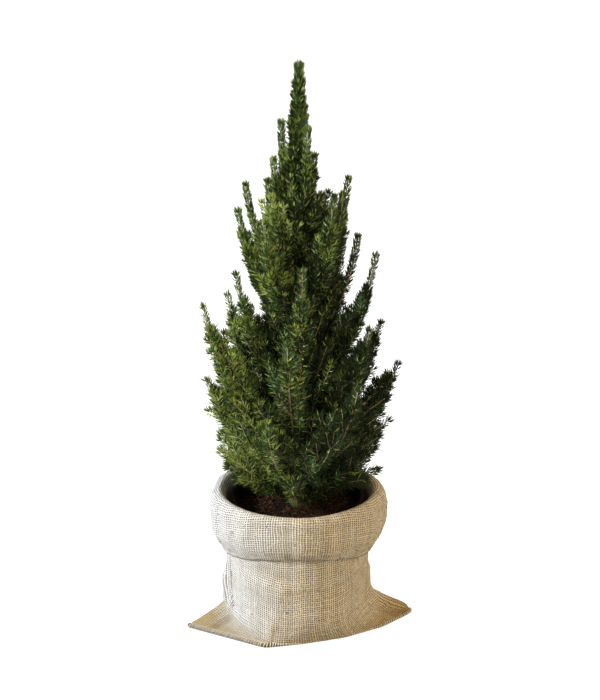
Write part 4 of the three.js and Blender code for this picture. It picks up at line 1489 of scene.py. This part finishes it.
def facet_share(angles):
    """1 between the facet's two ends, falling to 0 over the blend."""
    inside = np.minimum(angles - FACET[0], FACET[1] - angles)
    return np.clip(1 + inside / FACET_BLEND, 0, 1)


def flare_share(z):
    """1 on the floor and 0 above. Smooth: half of 1 + cos(pi (z / height)^ease). On the facet:
    1 - z / top to the power of the hollow, with both read from their tables."""
    smooth = (1 + np.cos(np.pi * np.clip(z / FLARE_HEIGHT, 0, 1) ** FLARE_EASE)) / 2
    angles = np.degrees(turns)
    top, hollow = from_table(FACET_TOPS, angles), from_table(FACET_HOLLOWS, angles)
    flat = np.clip(1 - z / top, 0, 1) ** hollow
    return mix(smooth, flat, facet_share(angles))[:, None]


def level_row(line, z):
    """A row of the grid: a line on the floor, lifted to a height."""
    return np.column_stack([line, np.full(SACK_COLUMNS, z)])


def body_row(z):
    """The level z of the body: its circle, blended to the floor outline by the flare's share."""
    return level_row(mix((BODY_RADIUS - CLOTH / 2) * round_line, floor_line, flare_share(z)), z)


def lip_rows():
    """The lip's path turned round the axis. Waves, a sum of sines of the turn, grow with the
    distance from the body. At the front, by the square of the cosine, the cuff is shorter by the
    front lift and lies closer to the body."""
    path = spaced(LIP_PATH, round(way_along(LIP_PATH)[-1] / LIP_STEP))
    path[1:-1] = softened(path, LIP_SOFTNESS, "edge")[1:-1]
    lip = int(path[:, 1].argmax())
    down = np.clip((path[lip, 1] - path[:, 1]) / (path[lip, 1] - path[-1, 1]), 0, 1)[:, None]
    down[:lip] = 0
    front = np.clip(-round_line[:, 1], 0, 1) ** 2
    waves = sum(height * np.sin(count * turns + phase) for count, height, phase in CUFF_WAVES)
    waving = np.clip((path[:, 0] - BODY_RADIUS) / WAVE_REACH, 0, 1)[:, None]
    tuck = FRONT_TUCK * front * np.clip(down * 4, 0, 1) * (1 - down)
    radius = path[:, 0, None] + waving * waves - tuck
    height = path[:, 1, None] + FRONT_LIFT * front * down
    return np.concatenate([round_line * radius[..., None], height[..., None]], axis=-1)


underside = [level_row(floor_line * share, CLOTH / 2) for share in UNDER_SHARES]
flare_levels = CLOTH + (FLARE_TOP - CLOTH) * np.linspace(0, 1, FLARE_ROWS) ** FLARE_CROWDING
body = [body_row(z) for z in (*flare_levels, *BODY_LEVELS)]
sack_grid = np.concatenate([np.array(underside), np.array(body), lip_rows()])
SACK_ROWS = len(sack_grid)
HEIGHT = sack_grid[:, :, 2]
lip_row = int(HEIGHT[:, 0].argmax())
print(f"{SACK_ROWS} rows of {SACK_COLUMNS} points, the lip on row {lip_row}")

# %% [markdown]
# ## Folds and dents
# Cloth that was filled, moved and set down keeps folds: a standing pleat down the left side with a
# groove beside it, a ridge up from the front corner, a double crease from the left side to that
# corner, a soft dent under the hem. Each is a line on the cloth with a width and a depth, and all of
# them together push the sheet along its own normal.

# %% Sack folds
FOLDS = [
    # (turn, height) at both ends, half width, and how far the cloth stands out there
    ((198, 100), (195, 34), 3.2, 1.6),  # standing pleat on the left, deeper towards its foot
    ((196.5, 84), (194, 34), 4.4, 2.8),
    ((195, 66), (193, 34), 6, 3.4),
    ((205, 102), (202.5, 46), 1.9, -9),  # slit beside it
    ((202.5, 46), (207, 31), 2.2, -6),
    ((196, 27), (249, 7), 2.0, 2.6),  # double crease along the break, down to the front corner
    ((199, 34), (249, 13), 2.0, 1.7),
    ((198, 18), (232, 6), 6, -3.4),  # hollow in the facet
    ((248, 4), (250, 24), 4, 1.3),  # ridge up from the front corner
    ((250, 24), (259, 78), 7, 1.2),
    ((243, 99), (262, 88), 7, -2.4),  # dent under the hem
    ((228, 76), (252, 68), 12, 2.2),  # soft swelling at the front left
    ((214, 93), (254, 88), 3, -1.0),
    ((300, 92), (318, 60), 12, -1.4),
    ((334, 76), (350, 34), 9, -2.6),  # hollow before the right ear
    ((349, 30), (357, 12), 9, -7),
    ((6, 62), (4.5, 8), 6, 4),  # fold of the right ear
    ((40, 80), (75, 20), 9, -2.5),  # the rest is slow, and on the back
    ((110, 90), (95, 30), 8, 2.4),
    ((140, 70), (160, 20), 9, -2.6),
]
CUFF_FOLDS = [
    ((158, 174), (205, 174), 8, 4),  # the lip is squarer on the left
    ((176, 128), (205, 124), 9, 1.5),
    ((204, 172), (202, 112), 4, -2.6),
    ((183, 168), (186, 148), 3, 1.5),
    ((181, 146), (184, 128), 3, -1.5),
    ((184, 124), (187, 108), 4, 1.8),
    ((214, 168), (219, 126), 6, 1.6),
    ((236, 168), (228, 120), 7, 1.5),
    ((262, 150), (268, 108), 9, -1.6),
    ((300, 165), (296, 120), 8, 1.4),
    ((343, 168), (338, 118), 6, -2.2),
    ((356, 160), (359, 125), 5, 1.6),
    ((20, 165), (28, 110), 7, 2),
    ((80, 160), (86, 105), 8, -2.4),
    ((135, 168), (128, 112), 7, 2.2),
]
WRINKLES = 0.8  # deep, and as long as the next
WRINKLE_LENGTH = 62
CUFF_WRINKLES, CUFF_WRINKLE_LENGTH = 0.55, 17
HIDDEN_SHARE = 0.2  # of the relief, under the cuff
HIDDEN_ROWS = 16  # of the body, above the flare, that still show


def turned_from(turn):
    """How far each column is turned from a direction in degrees, from minus pi to pi."""
    return (turns - np.radians(turn) + np.pi) % (2 * np.pi) - np.pi


def fold_push(folds, height):
    """The sum over folds of depth times a bell curve of the distance to the fold's line."""
    push = np.zeros(height.shape)
    for (turn_a, z_a), (turn_b, z_b), reach, depth in folds:
        way = np.array([np.radians(turn_b - turn_a) * BODY_RADIUS, z_b - z_a])
        u = np.broadcast_to(turned_from(turn_a) * BODY_RADIUS, height.shape)
        v = height - z_a
        along = np.clip((u * way[0] + v * way[1]) / (way @ way), 0, 1)
        away = np.hypot(u - along * way[0], v - along * way[1])
        push += depth * np.exp(-((away / reach) ** 2))
    return push


def grid_normals(grid):
    """Cross product of the steps to the next column and to the next row, as unit vectors."""
    beside = np.roll(grid, -1, axis=1) - np.roll(grid, 1, axis=1)
    onward = np.gradient(grid, axis=0)
    return unit(np.cross(beside, onward))


def folded_sack():
    """The grid pushed along its normals: folds and wrinkles outwards on the body and on the cuff,
    where the normal faces the body, and nothing on the underside."""
    row = np.arange(SACK_ROWS)[:, None]
    around = np.broadcast_to(turns * BODY_RADIUS, HEIGHT.shape)
    wrinkles = WRINKLES * bumps(around, HEIGHT * 1.3, WRINKLE_LENGTH, 5, octaves=3)
    fine = bumps(around, HEIGHT, CUFF_WRINKLE_LENGTH, 6, octaves=2)
    wrinkles = wrinkles + CUFF_WRINKLES * (row > lip_row) * fine
    on_cuff = row > lip_row + 2
    push = np.where(on_cuff, -fold_push(CUFF_FOLDS, HEIGHT), fold_push(FOLDS, HEIGHT)) + wrinkles
    free = np.clip((HEIGHT - 1) / 5, 0, 1) * np.clip(abs(row - lip_row) / 8, 0.3, 1)
    hidden = (row > len(underside) + FLARE_ROWS + HIDDEN_ROWS) & (row < lip_row)
    relief = push * free * np.where(hidden, HIDDEN_SHARE, 1)
    grid = sack_grid + grid_normals(sack_grid) * relief[..., None]
    grid[:, :, 2] = np.maximum(grid[:, :, 2], CLOTH / 2)
    return grid


sack_surface = folded_sack()
print(f"{len(FOLDS)} folds on the body and {len(CUFF_FOLDS)} on the cuff")

# %% [markdown]
# ## The sheet
# The grid becomes a mesh with a UV map in metres of flat cloth: across it the two halves' width,
# and along it the way down from the hem. Solidify gives the cloth its real thickness, half to each
# side.

# %% Make the sack
GROUND_BREAK = 25  # how fast the facet counts as lying on the ground past its break


def cloth_map(grid):
    """Across: even steps over the flat width. Along: the distance from the hem, column by column."""
    along = way_along(grid[::-1])[::-1]
    along = np.concatenate([along, along[:, :1]], axis=1)
    across = np.broadcast_to(np.linspace(0, CLOTH_FLAT[0], SACK_COLUMNS + 1), along.shape)
    return np.stack([across, along], axis=-1)


def set_cloth_map(mesh, places):
    """Writes one UV place for each corner of each face. The last column's faces end on the far
    edge of the flat cloth, not on the near one."""
    rows, columns = places.shape[:2]
    row = np.arange(rows - 1)[:, None] * columns
    column = np.arange(columns - 1)[None, :]
    corners = [row + column, row + column + 1, row + columns + 1 + column, row + columns + column]
    order = np.stack(corners, axis=-1).ravel()
    values = np.zeros((len(mesh.loops), 2), np.float32)
    values[: len(order)] = places.reshape(-1, 2)[order] * MM
    mesh.uv_layers.new(name="cloth").data.foreach_set("uv", values.ravel())


def lying_share():
    """How far each grid point lies out on the ground: its flare's share, and on the facet nearly 1
    from the break on."""
    flare = np.array([flare_share(z)[:, 0] for z in HEIGHT[:, 0]])
    share = mix(flare, np.clip(GROUND_BREAK * flare, 0, 1), facet_share(np.degrees(turns)))
    share[lip_row:] = 0
    return share


def make_sack():
    """The sheet, closed under the pot to one point."""
    points = np.concatenate([sack_surface.reshape(-1, 3), [(0, 0, CLOTH / 2)]])
    middle = end_faces(len(points) - 1, np.arange(SACK_COLUMNS), False)
    piece = make_piece("sack_cloth", points, [grid_faces(SACK_ROWS, SACK_COLUMNS), middle])
    set_cloth_map(piece.data, cloth_map(sack_surface))
    # the lying share places the painted shade on the ears
    lying = piece.data.attributes.new("lying", "FLOAT", "POINT")
    lying.data.foreach_set("value", np.append(lying_share().ravel(), 1).astype(np.float32))
    wall = piece.modifiers.new("thickness", "SOLIDIFY")
    wall.thickness = CLOTH * MM
    wall.offset = 0
    return finish_piece(piece, jute, ["sack"])


sack = make_sack()

# %% [markdown]
# ## Places on the cloth
# The seam, its stitches and the loose fibres all lie on the sack's surface. A place on it is a
# column and a row of the grid, both allowed to fall between grid lines, and its point and normal
# are blended from the four corners round it.

# %% Places on the sack
SEAM_ROW = len(underside)  # where the cloth leaves the floor
INSIDE_OUT_FROM = lip_row - 4  # from this row on the grid's own normals face the body
sack_normals = grid_normals(sack_surface)


def on_grid(grid, row, column):
    """Blend of the four grid values round each place."""
    low, left = np.floor(row).astype(int), np.floor(column).astype(int)
    up, aside = (row - low)[..., None], (column - left)[..., None]
    left, right = left % SACK_COLUMNS, (left + 1) % SACK_COLUMNS
    nearer = mix(grid[low, left], grid[low, right], aside)
    return mix(nearer, mix(grid[low + 1, left], grid[low + 1, right], aside), up)


def shown_side(row, column, gap):
    """Points and unit normals on the side of the cloth that shows, a gap above its middle."""
    side = np.where(row > INSIDE_OUT_FROM, -1, 1)[:, None]
    normal = unit(on_grid(sack_normals, row, column)) * side
    return on_grid(sack_surface, row, column) + gap * normal, normal


def nearest_place(turn, height):
    """The row and column above the seam nearest to a turn in degrees and a height, on the cuff if
    the height is the cuff's."""
    column = np.abs(turned_from(turn)).argmin()
    rows = np.arange(SACK_ROWS)
    outside = (rows > lip_row) | ((rows > SEAM_ROW) & (HEIGHT[:, column] < HEIGHT[-1, column]))
    away = np.where(outside, np.abs(HEIGHT[:, column] - height), np.inf)
    return away.argmin(), column


print(f"{SACK_ROWS - SEAM_ROW} rows above the seam")

# %% [markdown]
# ## Seam and stitches
# The bag is closed along its bottom by a rolled seam, whipped over with thick twine. The roll is
# painted dark brown, as painted shade between the stitches. The twine slants over the roll, in long
# stitches along the left ear and in smaller ones along the front.

# %% Seam and stitches
SEAM_RADII = (2.9, 1.5)  # along the ear, and along the front
SEAM_NARROWS = 30  # columns over which the roll gets thinner past the front corner
SEAM_STEPS, SEAM_SIDES = 260, 10
SEAM_UNEVEN = 0.08
FLOOR_GAP = 0.1
WHIP_PITCH = 3.4
WHIP_PITCH_CHANCE = 0.4
WHIP_SLANT = 3.6  # how far along the seam a stitch gets on its way round
WHIP_TURNS = (-80, 165)  # degrees: from the floor outside, over the top, to the cloth inside
WHIP_RADIUS = 0.55
STITCH_STEPS, STITCH_SIDES = 9, 5
front_corner = half + int(np.hypot(*(floor_line[half:] - FRONT_CORNER).T).argmin())


def seam_at(column):
    """The roll's middle, its radius and its outward direction at each column from the left ear on.
    It rests on the floor, half under the edge of the cloth."""
    radius = mix(*SEAM_RADII, np.clip((column - front_corner) / SEAM_NARROWS, 0, 1))
    columns = np.arange(half - 4, SACK_COLUMNS + 4)
    line = floor_line[columns % SACK_COLUMNS]
    heading = unit(np.gradient(line, axis=0))
    middle, ahead = [
        np.stack([np.interp(column, columns, values[:, k]) for k in (0, 1)], axis=-1)
        for values in (line, heading)
    ]
    ahead = unit(ahead)
    outward = np.stack([ahead[..., 1], -ahead[..., 0]], axis=-1)
    return middle - outward * radius[..., None] / 2, radius, outward


def seam_roll():
    """The roll as one tube from ear to ear, its radius uneven like that of folded cloth."""
    column = np.linspace(half - 1, SACK_COLUMNS, SEAM_STEPS)
    middle, radius, _ = seam_at(column)
    radius = radius * (1 + SEAM_UNEVEN * bumps(column, 0 * column, 9, 12, octaves=2))
    line = np.column_stack([middle, radius + FLOOR_GAP])
    return tubes_through(line[None], radius[None, :, None], SEAM_SIDES, (0, 0, 1))


def whip_stitches():
    """Twine wound over the roll. A stitch is the point middle + out cos(turn) + up sin(turn), a
    little outside the roll, while the turn grows and the middle moves along the seam."""
    column = np.arange(half, SACK_COLUMNS - 1, 0.25)
    way = way_along(seam_at(column)[0])
    starts = np.arange(1, way[-1] - WHIP_SLANT - 1, WHIP_PITCH)
    starts = starts + chance.uniform(-WHIP_PITCH_CHANCE, WHIP_PITCH_CHANCE, len(starts))
    t = np.linspace(0, 1, STITCH_STEPS)[None, :]
    place = np.interp(starts[:, None] + WHIP_SLANT * t, way, column)
    middle, radius, outward = seam_at(place)
    turn = np.radians(mix(*WHIP_TURNS, t))
    reach = radius + WHIP_RADIUS * 0.6
    flat = middle + outward * (reach * np.cos(turn))[..., None]
    level = np.maximum(radius + FLOOR_GAP + reach * np.sin(turn), WHIP_RADIUS + FLOOR_GAP)
    lines = np.concatenate([flat, level[..., None]], axis=-1)
    slanting = (0.37, 0.21, 0.9)  # a reference that no stitch runs along
    return tubes_through(lines, WHIP_RADIUS, STITCH_SIDES, slanting)


matt = {"roughness": 0.95, "specular": 0.15}
# the seam's roll is painted dark brown: painted shade between the stitches
roll_shade = mottled_material("rolled_jute", (0.04, 0.026, 0.013), (0.2, 0.14, 0.08), 2, relief=0.5, **matt)
twine = mottled_material("twine", (0.7, 0.62, 0.47), (1.0, 0.96, 0.88), 3, relief=0.3, **matt)
seam = finish_piece(make_piece("seam", *seam_roll()), roll_shade)
stitches = finish_piece(make_piece("stitches", *whip_stitches()), twine)

# %% [markdown]
# ## Loose fibres and flecks
# Jute is hairy: short fibres stand off the yarn everywhere and soften its outline. Bits of dark bark
# from the jute plant are spun in here and there. Fibres are three-sided tubes, flecks small lumps.

# %% Fibres and flecks
FIBRES = 1300
FIBRE_LENGTH = (3, 9)
FIBRE_RADIUS = 0.17
FIBRE_CURL = 0.5  # sideways, and as shares of the length
FIBRE_LIFT = 0.35
FLECKS = 44
FLECK_SIZE = (1.2, 2.8)
NAMED_FLECKS = [(252, 134), (304, 113), (262, 46), (318, 88)]  # turn and height on the cuff or body
FRONT_SHARE = 0.75  # of the fibres and flecks
CUFF_PART = (lip_row + 4, SACK_ROWS - 2)
BODY_PART = (SEAM_ROW + 8, SEAM_ROW + FLARE_ROWS + 14)


def chance_places(count):
    """Rows and columns spread over the outside of the cloth, more of them at its front."""
    front = chance.uniform(half - 30, SACK_COLUMNS + 30, count)
    at_front = chance.uniform(0, 1, count) < FRONT_SHARE
    column = np.where(at_front, front, chance.uniform(0, SACK_COLUMNS, count))
    body, cuff = chance.uniform(*BODY_PART, count), chance.uniform(*CUFF_PART, count)
    return np.where(chance.uniform(0, 1, count) < 0.5, body, cuff), column


def fibre_lines():
    """Each fibre is P + heading L t + (side curl + normal lift) t^2, nearly flat on the cloth. With
    it comes the cloth's normal where it starts."""
    start, normal = shown_side(*chance_places(FIBRES), 0.95)
    along = unit(np.cross(normal, chance.uniform(-1, 1, (FIBRES, 3))))
    side = np.cross(normal, along)
    length = chance.uniform(*FIBRE_LENGTH, FIBRES)[:, None]
    curl = side * chance.uniform(-FIBRE_CURL, FIBRE_CURL, (FIBRES, 1)) * length
    lift = normal * chance.uniform(0, FIBRE_LIFT, (FIBRES, 1)) * length
    t = np.linspace(0, 1, 4)[None, :, None]
    lines = start[:, None] + (along * length)[:, None] * t + (curl + lift)[:, None] * t * t
    lines[:, :, 2] = np.maximum(lines[:, :, 2], 0.4)
    return lines, normal


def fleck_lumps():
    """A few flecks where they catch the eye, large, and the rest anywhere."""
    named = np.array([nearest_place(*place) for place in NAMED_FLECKS], float)
    row, column = np.concatenate([named.T, chance_places(FLECKS)], axis=1)
    middle, _ = shown_side(np.minimum(row, SACK_ROWS - 1.01), column, 0.9)
    size = chance.uniform(*FLECK_SIZE, len(row))
    size[: len(NAMED_FLECKS)] = FLECK_SIZE[1]
    return lumps(middle, LUMP * chance.uniform(0.5, 1.2, (len(row), 6, 1)), size)


hair, hair_normals = fibre_lines()
pale = mottled_material("fibre", (0.6, 0.5, 0.34), (1.0, 0.93, 0.78), 8, 0.9, specular=0.2)
hair_tubes = tubes_through(hair, FIBRE_RADIUS, 3, hair_normals[:, None])
fibres = finish_piece(make_piece("fibres", *hair_tubes), pale)
dark = mottled_material("fleck", (0.02, 0.01, 0.005), (0.07, 0.04, 0.02), 2, 0.9)
flecks = finish_piece(make_piece("flecks", *fleck_lumps()), dark)

# %% [markdown]
# ## Light and floor
# A white room with one large, cool light from the left: that side of the plant is bright, and olive
# by painted light in its greens as well, and the right side sinks into deep green, by the lamp's shade
# and by painted shade, which is what makes the crown read as round. A weaker, warm one from the right
# keeps that side from going black.

# %% Light and floor
LAMPS = {
    # energy, colour, softness and the way it shines: down from the level, and turned from the front
    "window": (5.4, (0.79, 0.88, 1.0), 12, 64, -72),
    "reflector": (2.0, (1.0, 0.84, 0.6), 60, 60, 62),
}
ROOM_COLOUR = (1, 0.94, 0.82, 1)
ROOM_STRENGTH = 0.44
FLOOR_SIZE = 40000
FLOOR_DROP = 0.2  # under the origin's level
FLOOR_GLOW = 0.95  # keeps the paper white without throwing more light up at the plant


def make_light():
    """An even room, and suns with a wide angle, which throw soft shadows."""
    world = bpy.data.worlds.new("room")
    world.use_nodes = True
    background = world.node_tree.nodes["Background"]
    background.inputs["Color"].default_value = ROOM_COLOUR
    background.inputs["Strength"].default_value = ROOM_STRENGTH
    bpy.context.scene.world = world
    for name, (energy, colour, softness, down, turn) in LAMPS.items():
        light = bpy.data.lights.new(name, "SUN")
        light.energy, light.color, light.angle = energy, colour, np.radians(softness)
        lamp = bpy.data.objects.new(name, light)
        lamp.rotation_euler = (np.radians(down), 0, np.radians(turn))
        bpy.context.scene.collection.objects.link(lamp)
    bpy.context.scene.view_settings.view_transform = "Standard"


def make_floor():
    """A level square, wide enough to fill every view. It glows for the camera only."""
    corners = np.array([(-1, -1, 0), (1, -1, 0), (1, 1, 0), (-1, 1, 0)]) * FLOOR_SIZE / 2
    floor = make_piece("floor", corners - (0, 0, FLOOR_DROP), [np.arange(4)[None, :]], smooth=False)
    white = mottled_material("white_floor", (0.4, 0.4, 0.4), (0.42, 0.42, 0.42), 900, 0.9)
    shader = white.node_tree.nodes["Principled BSDF"]
    seen = white.node_tree.nodes.new("ShaderNodeLightPath").outputs["Is Camera Ray"]
    white.node_tree.links.new(seen, shader.inputs["Emission Color"])
    shader.inputs["Emission Strength"].default_value = FLOOR_GLOW
    floor.data.materials.append(white)


make_light()
make_floor()
print(f"{len(LAMPS)} lamps and a floor")
